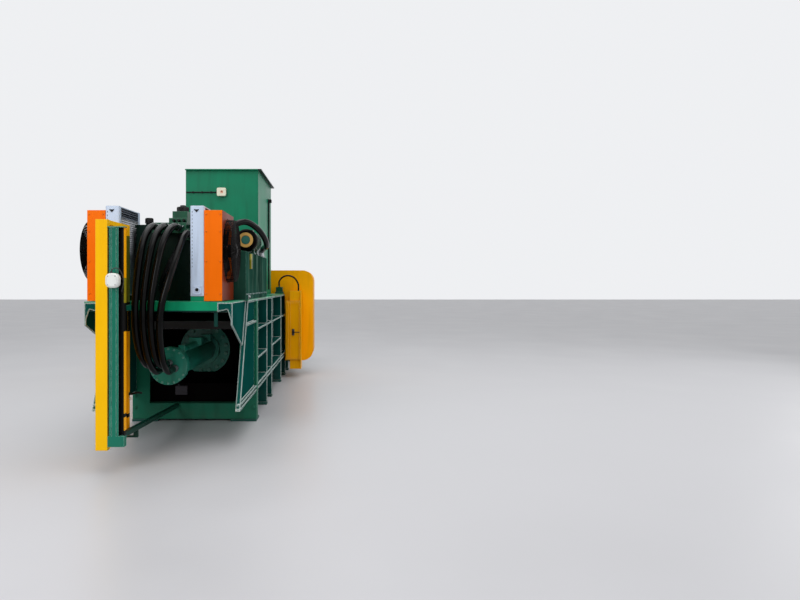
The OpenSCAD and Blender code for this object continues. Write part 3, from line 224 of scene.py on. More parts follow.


# Enamel on steel: slow change of tone, dirt runs (on the housing, pale streaks of painted reflection), dust on top,
# floor splash, rubbed edges (on some paints a painted highlight), orange peel.
# zones are (ranges, colour) where another finish shows on the same plate, and in places painted shade
def paint(name, colour, edge="#a9c4b8", rough=0.36, edgeRadius=0.006, edgeGain=0.5, breakup=0.45, dust=0.3,
          runsAndSheen=0.3, tone=0.14, dustTint="#70736a", runAndSheenTint="#10160f", peel=0.05, specular=0.16, splash=0.5,
          zones=()):
    mat, tree, shader = startMaterial(name)
    wearAndHighlight = placeGroup(tree, edgeWearAndHighlight, Radius=edgeRadius, Breakup=breakup)
    dirt = placeGroup(tree, grimeAndSheen, Dust=dust, Runs=runsAndSheen)
    base = hexTint(colour)
    slow = remap(tree, dirt["Tone"], 0.36, 0.64)
    shade = layered(tree, blend(tree, slow, scaled(base, 1 - tone), scaled(base, 1 + tone, 0.002)), [
        (dirt["Runs"], runAndSheenTint), (calc(tree, "MULTIPLY", wearAndHighlight["Mask"], edgeGain), edge), (dirt["Dust"], dustTint),
        (calc(tree, "MULTIPLY", dirt["Splash"], splash), "#5b5a55"),
        *((zoneMask(tree, zone), tint) for zone, tint in zones)])
    gloss = remap(tree, dirt["Tone"], 0.3, 0.7, (rough - 0.06, rough + 0.08))
    feedShader(tree, shader, shade, gloss, (dirt["Fine"], peel, 0.001), wearAndHighlight, dirt, Specular_IOR_Level=specular)
    return mat


# Bare metal: lines of grain from noise drawn out along one axis, dirt in patches, bright edges
def metal(name, colour, rough=0.32, stretch=(1.0, 1.0, 1.0), grain=0.12, dirtTint="#2b2825", dirty=0.4,
          metallic=1.0, edgeRadius=0.003, soft=0.06, dust=0.35):
    mat, tree, shader = startMaterial(name)
    wearAndHighlight = placeGroup(tree, edgeWearAndHighlight, Radius=edgeRadius, Breakup=0.3)
    dirt = placeGroup(tree, grimeAndSheen, Dust=dust, Runs=dirty)
    drawn = node(tree, "Mapping", (0, objectPlace(tree)), in_Scale=stretch).outputs[0]
    lines = noise(tree, drawn, 60.0, 4.0)
    base = hexTint(colour)
    shade = layered(tree, blend(tree, lines, scaled(base, 1 - grain), scaled(base, 1 + grain)), [
        (dirt["Runs"], dirtTint), (calc(tree, "MULTIPLY", wearAndHighlight["Mask"], 0.5), (0.72, 0.73, 0.74, 1.0)),
        (dirt["Dust"], "#85827a")])
    gloss = remap(tree, lines, 0.25, 0.75, (rough - soft, rough + soft))
    feedShader(tree, shader, shade, gloss, (lines, 0.05, 0.001), wearAndHighlight, dirt, Metallic=metallic)
    return mat


# Moulded plastic or powder coat: fine grain, dust on top, edges rubbed paler
def moulded(name, colour, rough=0.45, grain=260.0, dust=0.3, edgeTint="#6d6d6d", edgeGain=0.25, radius=0.003,
            specular=0.2):
    mat, tree, shader = startMaterial(name)
    wearAndHighlight = placeGroup(tree, edgeWearAndHighlight, Radius=radius, Breakup=0.4)
    dirt = placeGroup(tree, grimeAndSheen, Dust=dust, Runs=0.12)
    speck = noise(tree, objectPlace(tree), grain, 3.0)
    base = hexTint(colour)
    shade = layered(tree, blend(tree, dirt["Tone"], scaled(base, 0.88), base), [
        (calc(tree, "MULTIPLY", wearAndHighlight["Mask"], edgeGain), edgeTint), (dirt["Runs"], scaled(base, 0.35)),
        (dirt["Dust"], "#84827b")])
    gloss = remap(tree, speck, 0.3, 0.7, (rough - 0.05, rough + 0.07))
    feedShader(tree, shader, shade, gloss, (speck, 0.12, 0.0006), wearAndHighlight, dirt, Specular_IOR_Level=specular)
    return mat


# Rubber cover with the wrap marks of its making: a wave along the hose's own length, from its UV map
def hoseCover(name, colour, rough=0.3, wrap=240.0, specular=0.12):
    mat, tree, shader = startMaterial(name)
    dirt = placeGroup(tree, grimeAndSheen, Dust=0.05, Runs=0.15)
    uv = node(tree, "UVMap", uv_map="along").outputs[0]
    wave = node(tree, "TexWave", (0, uv), in_Scale=wrap / 6.2832, in_Distortion=0.4, bands_direction="X").outputs[0]
    speck = noise(tree, objectPlace(tree), 35.0, 6.0)
    base = hexTint(colour)
    shade = layered(tree, blend(tree, remap(tree, speck, 0.45, 0.75), base, scaled(base, 1.5, 0.001)),
                    [(dirt["Dust"], "#5f5d58")])
    gloss = remap(tree, speck, 0.3, 0.7, (rough - 0.03, rough + 0.08))
    feedShader(tree, shader, shade, gloss, (wave, 0.08, 0.0008), Specular_IOR_Level=specular)
    return mat


# Glass with oil behind it up to a level
def sightGlass(name, colour, level=(1.84, 1.86)):
    mat, tree, shader = startMaterial(name)
    place = objectPlace(tree)
    height = remap(tree, node(tree, "SeparateXYZ", (0, place)).outputs[2], *level)
    base = hexTint(colour)
    gloss = remap(tree, noise(tree, place, 90.0), 0.0, 1.0, (0.06, 0.18))
    feedShader(tree, shader, blend(tree, height, base, scaled(base, 1.7, 0.05)), gloss, Specular_IOR_Level=0.1)
    return mat


# Where another colour shows on a plate. The tower's rim, the post's groove and gap, the deck's hangers, the brace by
# the floor and the shroud's right side are painted shade; the deck's edge is in another green
# Painted shade: the flange round the tower's top is near-black green, for its shaded underside
towerRim = ({"X": (0.5175, 1.0), "Z": (3.2145, 4.0)}, "#0b1f1c")
# Painted shade: the post's groove and the gap beside the leaf are painted near black (#030505 in postZones)
postGroove = {"X": (-0.1585, -0.1115), "Z": (0.316, 2.061)}
postGap = {"X": (-0.2505, -0.2375), "Z": (0.316, 2.061)}
# Painted shade: the deck's parts below its beams are painted dark teal, for the shade under the deck
deckHanger = ({"Z": (1.18, 1.341)}, "#0b3a33")
deckEdge = ({"Z": (1.386, 1.50)}, "#0c8460")
# Painted shade: the brace and the post's foot near the floor are a darker copy of the post's green
braceShade = ({"Y": (-5.12, -3.0), "Z": (0.0, 0.6)}, "#0a3a2e")
# Painted shade: the shroud's right outer face is a dark brown copy of its orange
shroudSide = ({"X": (0.5925, 0.70)}, "#7d2c12")
# The leaf's far stile and the post's outer edge, by height: the upright's own amber, olive and near-black stretches
# that are painted shade, and thin near-black bands that are the painted shade of a cut
stile = {"X": (-0.353, -0.251), "Y": (-4.699, -4.636)}
stileZones = [({**stile, "Z": z}, tint) for z, tint in (((1.40, 2.03), "#5c6420"), ((0.0, 1.155), "#f0a000"),
                                                        ((0.365, 0.400), "#060402"))]
post = {"X": (-0.1275, -0.1055), "Y": (-5.22, -5.15)}
postZones = [(postGroove, "#030505"), (postGap, "#030505")]
postZones += [({**post, "Z": z}, tint) for z, tint in (((0.36, 2.062), "#ffb000"), ((1.43, 1.64), "#8d8416"),
                                                       ((1.19, 1.43), "#060504"), ((0.470, 0.502), "#060504"))]
paints = {
    "towerGreen": dict(colour="#067a58", edge="#0e3a30", edgeGain=0.35, dust=0.15, specular=0.1, zones=[towerRim]),
    # Painted highlight: the post's edges are tinted pale mint
    "postGreen": dict(colour="#0a6e58", edge="#b8f0dc", edgeGain=0.8, rough=0.3, dust=0.15,
                      zones=postZones + [braceShade]),
    "deckGreen": dict(colour="#069468", dust=0.15, specular=0.1, zones=[deckHanger]),
    "channelGreen": dict(colour="#0a6248", specular=0.08, dust=0.15),
    # Painted highlight: the wall's rib and flange edges are painted near white along their whole length
    "wallTeal": dict(colour="#0a4a44", edge="#f2fffb", edgeGain=1.0, breakup=0.05, edgeRadius=0.020, rough=0.5,
                     dust=0.04, specular=0.0, runsAndSheen=0.2),
    "bodyTeal": dict(colour="#0f4c44", rough=0.5, specular=0.04, dust=0.12),
    "portalGreen": dict(colour="#1b6a52", rough=0.5, specular=0.05, edge="#4f9a80", dust=0.12, zones=[deckEdge]),
    "cylinderTeal": dict(colour="#2c907a", runsAndSheen=0.4, runAndSheenTint="#06100d", edge="#a5e2d0", rough=0.3, dust=0.12,
                         specular=0.35),
    # Painted highlight: the cylinder's bolt heads are a paler copy of its teal, with pale edges
    "boltTeal": dict(colour="#5aa08d", edge="#c7eadd", runsAndSheen=0.2, specular=0.4),
    "hydraulicGreen": dict(colour="#0b4c34", rough=0.3, runsAndSheen=0.5, dust=0.15),
    # Painted shade: the tank's paint is as dark as its face looks in the shade behind the hoses
    "tankTeal": dict(colour="#0a241d", rough=0.3, runsAndSheen=0.4, edge="#2f5a4c", specular=0.08, dust=0.12),
    # Painted reflection: the housing's runs are strong and pale, vertical streaks of reflected light on a side with
    # no specular
    "housingGreen": dict(colour="#234a3e", rough=0.45, dust=0.04, runsAndSheen=0.9, runAndSheenTint="#6b8c7d", tone=0.45,
                         specular=0.0, edge="#9fc4b4"),
    # Painted shade: the chamber's floor and bulkhead are near black with no sheen, for the shade inside the chamber
    "oxideAndShade": dict(colour="#060304", edge="#151011", rough=0.6, runsAndSheen=0.3, dust=0.0, dustTint="#241b16",
                       specular=0.0, splash=0.0),
    "doorYellow": dict(colour="#ffbf00", edge="#ffe88a", rough=0.34, runsAndSheen=0.10, runAndSheenTint="#8a5f05", dust=0.06,
                       tone=0.05, splash=0.08, specular=0.08, zones=stileZones),
    "amberYellow": dict(colour="#ffb000", edge="#ffe08a", edgeGain=0.8, runsAndSheen=0.2, runAndSheenTint="#8a5505", dust=0.06,
                        tone=0.06, splash=0.15, specular=0.06),
    "shroudOrange": dict(colour="#fb7200", edge="#ffb45a", runsAndSheen=0.14, runAndSheenTint="#9b4206", dust=0.06, tone=0.05,
                         splash=0.0, specular=0.06, zones=[shroudSide]),
}
metals = {
    "boltZinc": dict(colour="#8f9496", rough=0.34),
    "machinedSteel": dict(colour="#a3a6a8", rough=0.3, stretch=(1.0, 0.06, 1.0)),
    "wornPlate": dict(colour="#1f1b1a", rough=0.5, stretch=(1.0, 0.05, 1.0), dirty=0.8, grain=0.3, dust=0.05,
                      metallic=0.4),
    "chrome": dict(colour="#d5d8da", rough=0.14, stretch=(1.0, 0.03, 1.0), grain=0.04, dirty=0.1, soft=0.03),
    "coolerSilver": dict(colour="#bccbe0", rough=0.5, metallic=0.2, grain=0.07, dirty=0.45, dirtTint="#565b66",
                         edgeRadius=0.005),
    "finGrey": dict(colour="#5b6472", rough=0.65, metallic=0.0, grain=0.12, dirty=0.2, dirtTint="#3b3f48",
                    dust=0.1),
    # finShade: the sheet behind the cooler fins, painted slate for the shade between them
    "finShade": dict(colour="#4c5663", rough=0.7, metallic=0.0, grain=0.1, dirty=0.1, dust=0.0),
    "darkSteel": dict(colour="#3b3e41", rough=0.38, dirty=0.5),
}
plastics = {
    "blackCoat": dict(colour="#060303", rough=0.4, edgeTint="#2a2422", dust=0.0, specular=0.03),
    "blackPlasticAndShade": dict(colour="#070708", rough=0.42, dust=0.12),
    "blackRubber": dict(colour="#0a0a0b", rough=0.6, edgeGain=0.1),
    "whiteCase": dict(colour="#eff1ee", rough=0.35, edgeTint="#ffffff", dust=0.15),
    "creamCase": dict(colour="#ece8d2", rough=0.42, edgeTint="#f6f1dd", dust=0.2),
    "greyCase": dict(colour="#363238", rough=0.5, dust=0.1),
    "sensorOrange": dict(colour="#e6a78a", rough=0.35),
    "tanDisc": dict(colour="#d9ab5c", rough=0.45, dust=0.1),
    "sealTeal": dict(colour="#2c6f62", rough=0.45),
}
rubbers = {
    "mainHose": dict(colour="#030303", rough=0.13),
    "thinHose": dict(colour="#060607", rough=0.25, wrap=420.0),
    "cableSheath": dict(colour="#101112", rough=0.25, wrap=900.0, specular=0.5),
}
finishes = {name: make(name, **facts) for make, table in (
    (paint, paints), (metal, metals), (moulded, plastics), (sightGlass, {"oilGlass": {"colour": "#8d8420"}}),
    (hoseCover, rubbers)) for name, facts in table.items()}
print("materials made:", len(finishes))

nodeFinish = {
    "towerGreen": ["hopper"],
    "postGreen": ["guard_post"],
    "deckGreen": ["deck"],
    "channelGreen": ["chamber_roof", "tie_frame", "bale_channel"],
    "wallTeal": ["wall_left", "wall_right"],
    "bodyTeal": ["base_frame", "side_flap_left", "side_flap_right"],
    "portalGreen": ["rear_portal"],
    "tankTeal": ["oil_tank"],
    "oxideAndShade": ["chamber_floor", "bulkhead"],
    "cylinderTeal": ["barrel", "cylinder_cap", "mount_flange", "side_pipe", "clamp_cylinders"],
    "boltTeal": ["cylinder_bolts"],
    "hydraulicGreen": ["manifold", "tank_valves", "pump_motor", "tie_valves"],
    "housingGreen": ["power_cabinet"],
    "doorYellow": ["guard_door", "measuring_wheel"],
    "amberYellow": ["tie_guard", "tie_cabinet", "tie_door"],
    "shroudOrange": ["cooler_shrouds"],
    "boltZinc": ["hose_fittings", "pump"],
    "machinedSteel": ["fixed_blade", "ram_blade", "clamp_rod_left", "clamp_rod_right", "needle_carriage",
                      "twister_shaft"],
    "wornPlate": ["ram"],
    "chrome": ["ram_rod"],
    "coolerSilver": ["cooler_cores"],
    "blackCoat": ["fan_guards", "cooler_motors"],
    "blackPlasticAndShade": ["cooler_fan_left", "cooler_fan_right", "filter", "tie_latch"],
    "oilGlass": ["level_gauge"],
    "whiteCase": ["interlock_switch"],
    "creamCase": ["hopper_sensors"],
    "thinHose": ["hose_1", "hose_2", "hose_3", "hose_4", "drain_hose", "motor_hose", "tie_hose", "switch_cable"],
}
for finish, names in nodeFinish.items():
    for name in names:
        mesh = nodes[name].data
        mesh.materials.clear()
        mesh.materials.append(finishes[finish])


# Corner numbers of the quads of a grid of points, row by row
def gridFaces(rows, cols, wrapRows=False, wrapCols=False):
    r = np.arange(rows if wrapRows else rows - 1)[:, None]
    c = np.arange(cols if wrapCols else cols - 1)[None, :]
    here, right = r * cols + c, r * cols + (c + 1) % cols
    below, belowRight = (r + 1) % rows * cols + c, (r + 1) % rows * cols + (c + 1) % cols
    return np.stack([here, right, belowRight, below], -1).reshape(-1, 4)


# Rings of points, one to a row, joined by quads. A flat face closes the first and the last if asked
def loft(points, first=True, last=True, flip=False, wrap=False):
    rows, cols = points.shape[:2]
    groups = [gridFaces(rows, cols, wrap, True)]
    if first:
        groups.append(np.arange(cols)[::-1][None])
    if last:
        groups.append((rows - 1) * cols + np.arange(cols)[None])
    return [(points.reshape(-1, 3), [g[:, ::-1] for g in groups] if flip else groups)]


def fullTurn(sides):
    return np.linspace(0, 2 * np.pi, sides, endpoint=False)


# Joins parts (points, list of corner arrays) into one object and hands it to the frame
def build(name, parts, finish, body="machine", replaces=(), smooth=True, bevel=0.0, uv=None):
    points = np.concatenate([p for p, _ in parts])
    starts = np.cumsum([0] + [len(p) for p, _ in parts[:-1]])
    faces = [f + s for (_, groups), s in zip(parts, starts) for f in groups]
    corners = np.concatenate([f.reshape(-1) for f in faces])
    sizes = np.concatenate([np.full(len(f), f.shape[1]) for f in faces])
    mesh = bpy.data.meshes.new(name)
    mesh.vertices.add(len(points))
    mesh.vertices.foreach_set("co", points.astype(np.float32).reshape(-1))
    mesh.loops.add(len(corners))
    mesh.loops.foreach_set("vertex_index", corners.astype(np.int32))
    mesh.polygons.add(len(sizes))
    mesh.polygons.foreach_set("loop_start", (np.cumsum(sizes) - sizes).astype(np.int32))
    mesh.polygons.foreach_set("loop_total", sizes.astype(np.int32))
    if uv is not None:
        layer = mesh.uv_layers.new(name="along")
        layer.data.foreach_set("uv", uv[corners].astype(np.float32).reshape(-1))
    mesh.update(calc_edges=True)
    mesh.validate()
    mesh.materials.append(finishes[finish])
    if smooth:
        mesh.shade_smooth()
        mesh.set_sharp_from_angle(angle=math.radians(38))
    piece = bpy.data.objects.new(name, mesh)
    bpy.context.scene.collection.objects.link(piece)
    if bevel:
        edge = piece.modifiers.new("edge", "BEVEL")
        edge.width, edge.segments, edge.limit_method, edge.angle_limit = bevel, 2, "ANGLE", math.radians(40)
    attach(piece, body)
    if replaces:
        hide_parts(*replaces)
    return piece


# Rows of a turning matrix whose third axis is direction and whose first is square to up
def frames(direction, up=upward):
    w = np.asarray(direction, float) / np.linalg.norm(direction)
    u = np.cross(up, w)
    if np.linalg.norm(u) < 1e-6:
        u = np.cross(forward, w)
    u = u / np.linalg.norm(u)
    return np.stack([u, np.cross(w, u), w])


# A profile of (radius, height) turned round an axis through centre. Ends are closed by flat faces
def revolve(profile, centre, direction, sides=32, closed=True):
    profile = np.asarray(profile, float)
    turn = fullTurn(sides)
    ring = np.stack([np.cos(turn), np.sin(turn)], -1)
    heights = np.broadcast_to(profile[:, None, 1:], (len(profile), sides, 1))
    local = np.concatenate([profile[:, None, :1] * ring[None], heights], -1)
    return loft(local @ frames(direction) + np.asarray(centre, float), closed, closed)


# The six faces between two corners
def box(low, high):
    low, high = np.minimum(low, high), np.maximum(low, high)
    pick = np.array([[0, 0, 0], [1, 0, 0], [1, 1, 0], [0, 1, 0], [0, 0, 1], [1, 0, 1], [1, 1, 1], [0, 1, 1]])
    points = np.where(pick == 1, high, low)
    faces = np.array([[0, 3, 2, 1], [4, 5, 6, 7], [0, 1, 5, 4], [2, 3, 7, 6], [1, 2, 6, 5], [3, 0, 4, 7]])
    return [(points.astype(float), [faces])]


# A box between two points given by station
def stationBox(a, b):
    return box(at(*a), at(*b))


# A box with its four edges along one axis rounded: an outline of arcs carried through the depth
def roundBlock(low, high, radius, axis=2, steps=4):
    low, high = np.asarray(low, float), np.asarray(high, float)
    u, v = [i for i in range(3) if i != axis]
    turn = np.linspace(0, np.pi / 2, steps + 1)
    corner = [(high[u] - radius, high[v] - radius), (low[u] + radius, high[v] - radius),
              (low[u] + radius, low[v] + radius), (high[u] - radius, low[v] + radius)]
    outline = np.concatenate([np.stack([c[0] + radius * np.cos(turn + k * np.pi / 2),
                                        c[1] + radius * np.sin(turn + k * np.pi / 2)], -1)
                              for k, c in enumerate(corner)])
    points = np.zeros((2, len(outline), 3))
    points[:, :, [u, v]] = outline
    points[0, :, axis], points[1, :, axis] = low[axis], high[axis]
    return loft(points, flip=axis == 1)


# A flat outline of (a, b) points carried along the axis square to both, through depth
def outlineSlab(outline, origin, across, up, depth):
    outline = np.asarray(outline, float)
    across, up = np.asarray(across, float), np.asarray(up, float)
    flat = np.asarray(origin, float) + outline[:, :1] * across + outline[:, 1:] * up
    return loft(np.stack([flat, flat + np.cross(across, up) * depth]))


# Hexagon heads with a turned crown: a ring profile carried round six corners, on round washers
def hexHeads(places, direction, size, height, washer=True):
    r = size / math.sqrt(3)
    head = [(r, 0.0), (r, height * 0.78), (r * 0.86, height)]
    parts = []
    for place in places:
        base = np.asarray(place, float)
        w = np.asarray(direction, float) / np.linalg.norm(direction)
        if washer:
            t = height * 0.22
            parts += revolve([(size * 0.95, 0), (size * 0.95, t)], base, w, 20)
            base = base + w * t
        parts += revolve(head, base, w, 6)
    return parts


# Round heads with a hexagon socket: the profile dips to the socket's floor inside the rim
def socketHeads(places, direction, size, height):
    r = size / 2
    profile = [(r, 0.0), (r, height * 0.9), (r * 0.93, height), (r * 0.55, height), (r * 0.5, height * 0.4)]
    return [part for place in places for part in revolve(profile, place, direction, 18)]


# Catmull-Rom curve through the points: each span is a cubic from its four nearest points
def smoothPath(points, samples=8):
    p = np.asarray(points, float)
    p = np.concatenate([2 * p[:1] - p[1:2], p, 2 * p[-1:] - p[-2:-1]])
    t = np.linspace(0, 1, samples, endpoint=False)[None, :, None]
    a, b, c, d = (p[i:len(p) - 3 + i][:, None] for i in range(4))
    run = 0.5 * (2 * b + (c - a) * t + (2 * a - 5 * b + 4 * c - d) * t ** 2 + (3 * b - a - 3 * c + d) * t ** 3)
    return np.concatenate([run.reshape(-1, 3), p[-2:-1]])


# A ring of the given radius carried along a path. Ring i's plane is square to the path there
def tube(path, radius, sides=20, refer=(1, 0, 0), wrap=False):
    path = np.asarray(path, float)
    radius = np.broadcast_to(np.asarray(radius, float), len(path))
    t = np.roll(path, -1, 0) - np.roll(path, 1, 0) if wrap else np.gradient(path, axis=0)
    t /= np.linalg.norm(t, axis=1, keepdims=True)
    refer = np.asarray(refer, float)
    u = refer - (t @ refer)[:, None] * t
    u /= np.linalg.norm(u, axis=1, keepdims=True)
    v = np.cross(t, u)
    turn = fullTurn(sides)
    ring = np.cos(turn)[None, :, None] * u[:, None] + np.sin(turn)[None, :, None] * v[:, None]
    return loft(path[:, None] + radius[:, None, None] * ring, not wrap, not wrap, wrap=wrap)


# A straight round bar between two points
def rod(a, b, radius, sides=12):
    a, b = np.asarray(a, float), np.asarray(b, float)
    return revolve([(radius, 0), (radius, float(np.linalg.norm(b - a)))], a, b - a, sides)


def pathLength(path):
    return float(np.linalg.norm(np.diff(path, axis=0), axis=1).sum())


# UV of a tube: metres along the path, and the share of a turn round it
def alongUv(path, sides):
    run = np.concatenate([[0], np.cumsum(np.linalg.norm(np.diff(path, axis=0), axis=1))])
    turn = np.linspace(0, 1, sides, endpoint=False)
    return np.stack([np.repeat(run, sides), np.tile(turn, len(path))], -1)


def mm(rows):
    return [at(*(np.asarray(row, float) / 1000)) for row in rows]


# The hoses' side view as (station, height, share), and where each lies across at the shares 0, 1 and 2
mainHoses = {
    "profile": [(-1280, 2140, 0), (-1360, 2140, 0), (-1500, 2090, 0.1), (-1620, 1985, 0.3), (-1700, 1820, 0.55),
                (-1750, 1620, 0.8), (-1780, 1400, 1), (-1775, 1180, 1.15), (-1700, 990, 1.4), (-1560, 850, 1.75),
                (-1390, 785, 2), (-1230, 785, 2)],
    "across": [(-90, -128, -105), (11, -57, -48), (112, 13, 9)], "rise": [26, -26, 26],
    "last": [(225, -1280, 2075), (225, -1350, 2075), (222, -1460, 2020), (205, -1580, 1900), (180, -1680, 1740),
             (140, -1745, 1560), (102, -1775, 1380), (86, -1772, 1180), (80, -1700, 990), (73, -1560, 840),
             (66, -1390, 759), (66, -1230, 759)],
    "diameter": 0.064, "sides": 28,
}
cords = {
    "drain_hose": {"d": 0.040, "refer": (1, 0, 0), "finish": "thinHose", "run": [(120, -1140, 2090),
        (119, -1142, 2030), (104, -1162, 1966), (81, -1190, 1907), (57, -1214, 1850), (30, -1230, 1790),
        (0, -1232, 1725), (-32, -1217, 1657), (-61, -1186, 1596), (-83, -1138, 1550), (-90, -1080, 1535)]},
    "motor_hose": {"d": 0.070, "refer": (0.3, -0.2, 1), "finish": "mainHose", "run": [(264, -340, 2090),
        (330, -340, 2090), (460, -270, 2225), (600, -130, 2300), (715, 60, 2245), (780, 280, 2140),
        (778, 480, 2060), (720, 655, 2040), (680, 715, 2005), (680, 715, 1930)]},
    "switch_cable": {"d": 0.008, "refer": forward, "finish": "cableSheath", "run": [(-205, -2160, 1679),
        (-205, -2160, 1692), (-193, -2159, 1712), (-168, -2158, 1722), (-138, -2157, 1706), (-114, -2155, 1662),
        (-106, -2152, 1612), (-114, -2145, 1565), (-128, -2128, 1528), (-136, -2102, 1505), (-137, -2088, 1500),
        (-137, -2075, 1500)]},
    "tie_hose": {"d": 0.028, "refer": forward, "finish": "thinHose", "run": [(640, 3620, 1560),
        (640, 3620, 1640), (700, 3620, 1715), (800, 3620, 1740), (900, 3620, 1700), (960, 3620, 1610),
        (970, 3620, 1540), (970, 3620, 1478)]},
}


def makeCord(name, path, diameter, finish, refer, replaced, sides=24):
    piece = build(name, tube(path, diameter / 2, sides, refer), finish, "machine", (replaced,),
                  uv=alongUv(path, sides))
    return piece


# Across a main hose: straight from the first place to the second over share 0 to 1, then on to the third
def mainHosePoints(i):
    a, b, c = mainHoses["across"][i]
    rows = []
    for s, z, m in mainHoses["profile"]:
        x = a * (1 - m) + b * m if m < 1 else b * (2 - m) + c * (m - 1)
        rows.append((x, s, z + mainHoses["rise"][i] * max(0.0, m - 1)))
    return rows


hosePaths = [smoothPath(mm(mainHosePoints(i)), 10) for i in range(3)] + [smoothPath(mm(mainHoses["last"]), 10)]
for i, path in enumerate(hosePaths):
    makeCord(f"mainHose{i + 1}", path, mainHoses["diameter"], "mainHose", (1, 0, 0),
             f"hose_{i + 1}", mainHoses["sides"])
for name, facts in cords.items():
    path = smoothPath(mm(facts["run"]), 8)
    makeCord(name + "_run", path, facts["d"], facts["finish"], facts["refer"], name)
    print(name, "length", round(pathLength(path), 3))
print("cords made", [round(pathLength(p), 3) for p in hosePaths])


# Oil coolers: bar-and-plate cores with a tank at each end
coolers = {"middle": -0.036, "inner": 0.330, "outer": 0.460, "rear": -1.490, "front": -0.860, "low": 1.475,
           "high": 2.320, "tank": 0.060, "rows": 40, "bar": 0.004, "wave": 0.0045, "port": 1.535,
           "slots": (1.745, 0.034, 16), "lug": 2.268}


# Between two bars the fin is a zigzag: its height steps from bar to bar every half wave along the core
def coolerCore(low, high, face):
    c = coolers
    rear, front = c["rear"] + c["tank"], c["front"] - c["tank"]
    pitch = (c["high"] - c["low"] - 0.03) / c["rows"]
    silver, fins, dark = [], [], []
    for start in (c["rear"], c["front"] - c["tank"]):
        silver += roundBlock(at(low, start, c["low"] + 0.004), at(high, start + c["tank"], c["high"] - 0.004), 0.010)
        for z in (c["low"], c["high"] - 0.004):
            silver += stationBox((low + 0.004, start + 0.004, z),
                                 (high - 0.004, start + c["tank"] - 0.004, z + 0.004))
    for z in (c["low"] + 0.004, c["high"] - 0.012):
        silver += stationBox((low + 0.001, rear, z), (high - 0.001, front, z + 0.008))
    for row in range(c["rows"] + 1):
        z = c["low"] + 0.013 + row * pitch
        fins += stationBox((low + 0.0015, rear, z), (high - 0.0015, front, z + c["bar"]))
    steps = int((front - rear) / c["wave"])
    s = np.linspace(rear, front, steps)
    across = np.array([low + 0.004, (low + high) / 2, high - 0.004])
    for row in range(c["rows"]):
        bottom = c["low"] + 0.013 + c["bar"] + row * pitch
        z = np.where(np.arange(steps) % 2 == 0, bottom, bottom + pitch - c["bar"])
        points = np.stack(np.broadcast_arrays(across[:, None], s[None] + portalY, z[None]), -1)
        fins += [(points.reshape(-1, 3), [gridFaces(3, steps)])]
    # A slate sheet just behind the fins' mouths stands in for the shade deep between the fins (painted shade, kept
    # lighter than that shade), and a folded strip crosses them near the top
    into = 1 if face < (low + high) / 2 else -1
    shade = stationBox((face + into * 0.0030, rear, c["low"] + 0.01), (face + into * 0.0036, front, c["high"] - 0.10))
    for z in (c["high"] - 0.105, c["high"] - 0.060):
        fins += stationBox((face - into * 0.002, rear, z), (face + into * 0.004, front, z + 0.006))
    # The oil port has a square flange with a ring in it
    middle = (low + high) / 2
    silver += roundBlock(at(middle - 0.043, c["rear"] - 0.008, c["port"] - 0.045),
                         at(middle + 0.043, c["rear"] + 0.002, c["port"] + 0.040), 0.006, 1)
    silver += revolve([(0.024, 0), (0.024, 0.010), (0.021, 0.012), (0.017, 0.012), (0.016, 0.002)],
                      at(middle, c["rear"] - 0.006, c["port"]), rearward, 28, closed=False)
    # Painted shade: a black disc in the port's bore
    dark += revolve([(0.0165, 0), (0.0165, 0.001)], at(middle, c["rear"] - 0.0075, c["port"]), rearward, 24)
    silver += socketHeads([at(middle + a, c["rear"] - 0.008, c["port"] + b) for a in (-0.033, 0.033)
                           for b in (-0.034, 0.030)], rearward, 0.012, 0.006)
    # Slots down the tank's inner edge, and a V-shaped lug near its top, drawn as thin black slabs: painted shade of
    # the slots and of the lug's recess
    first, dash, count = c["slots"]
    for z in (first + i * dash for i in range(count)):
        dark += stationBox((low + 0.017, c["rear"] - 0.0012, z), (low + 0.021, c["rear"] + 0.001, z + 0.015))
    lug = [(-0.024, 0.016), (0, -0.010), (0.024, 0.016), (0.016, 0.019), (0, 0.004), (-0.016, 0.019)]
    filled = [(-0.013, 0.017), (0, 0.005), (0.013, 0.017)]
    for outline, depth in ((lug, 0.006), (filled, 0.003)):
        dark += outlineSlab(outline, at(middle - 0.006, c["rear"] + 0.001, c["lug"]), (1, 0, 0), upward, depth)
    return silver, fins, dark, shade


inner, outer, middle = coolers["inner"], coolers["outer"], coolers["middle"]
silver, fins, dark, shade = (a + b for a, b in zip(coolerCore(middle + inner, middle + outer, middle + inner),
                                                   coolerCore(middle - outer, middle - inner, middle - inner)))
build("cooler_tanks", silver, "coolerSilver", replaces=("cooler_cores",), bevel=0.0012)
for name, parts, finish in (("fins", fins, "finGrey"), ("shade", shade, "finShade"), ("slots", dark, "blackPlasticAndShade")):
    build("cooler_" + name, parts, finish, smooth=False)
print("cooler cores made")

# Fans: a twisted blade is an aerofoil outline turned by its pitch, carried out along the radius
fans = {"s": -1.175, "z": 1.912, "tip": 0.262, "hub": 0.060, "blades": 7, "chord": (0.058, 0.086),
        "pitch": (52, 24), "wheel": (0.540, 0.584), "drum": (0.300, 0.072), "wire": 0.0023,
        "faceRings": 24, "wallRings": 9, "spokes": 24, "outer": 0.594, "motor": 0.065}


# The outward shift of a fan piece on each side of the machine: +1 right, -1 left
def fanPlace(side, out):
    return at(coolers["middle"] + side * (out + 0.036), fans["s"], fans["z"])


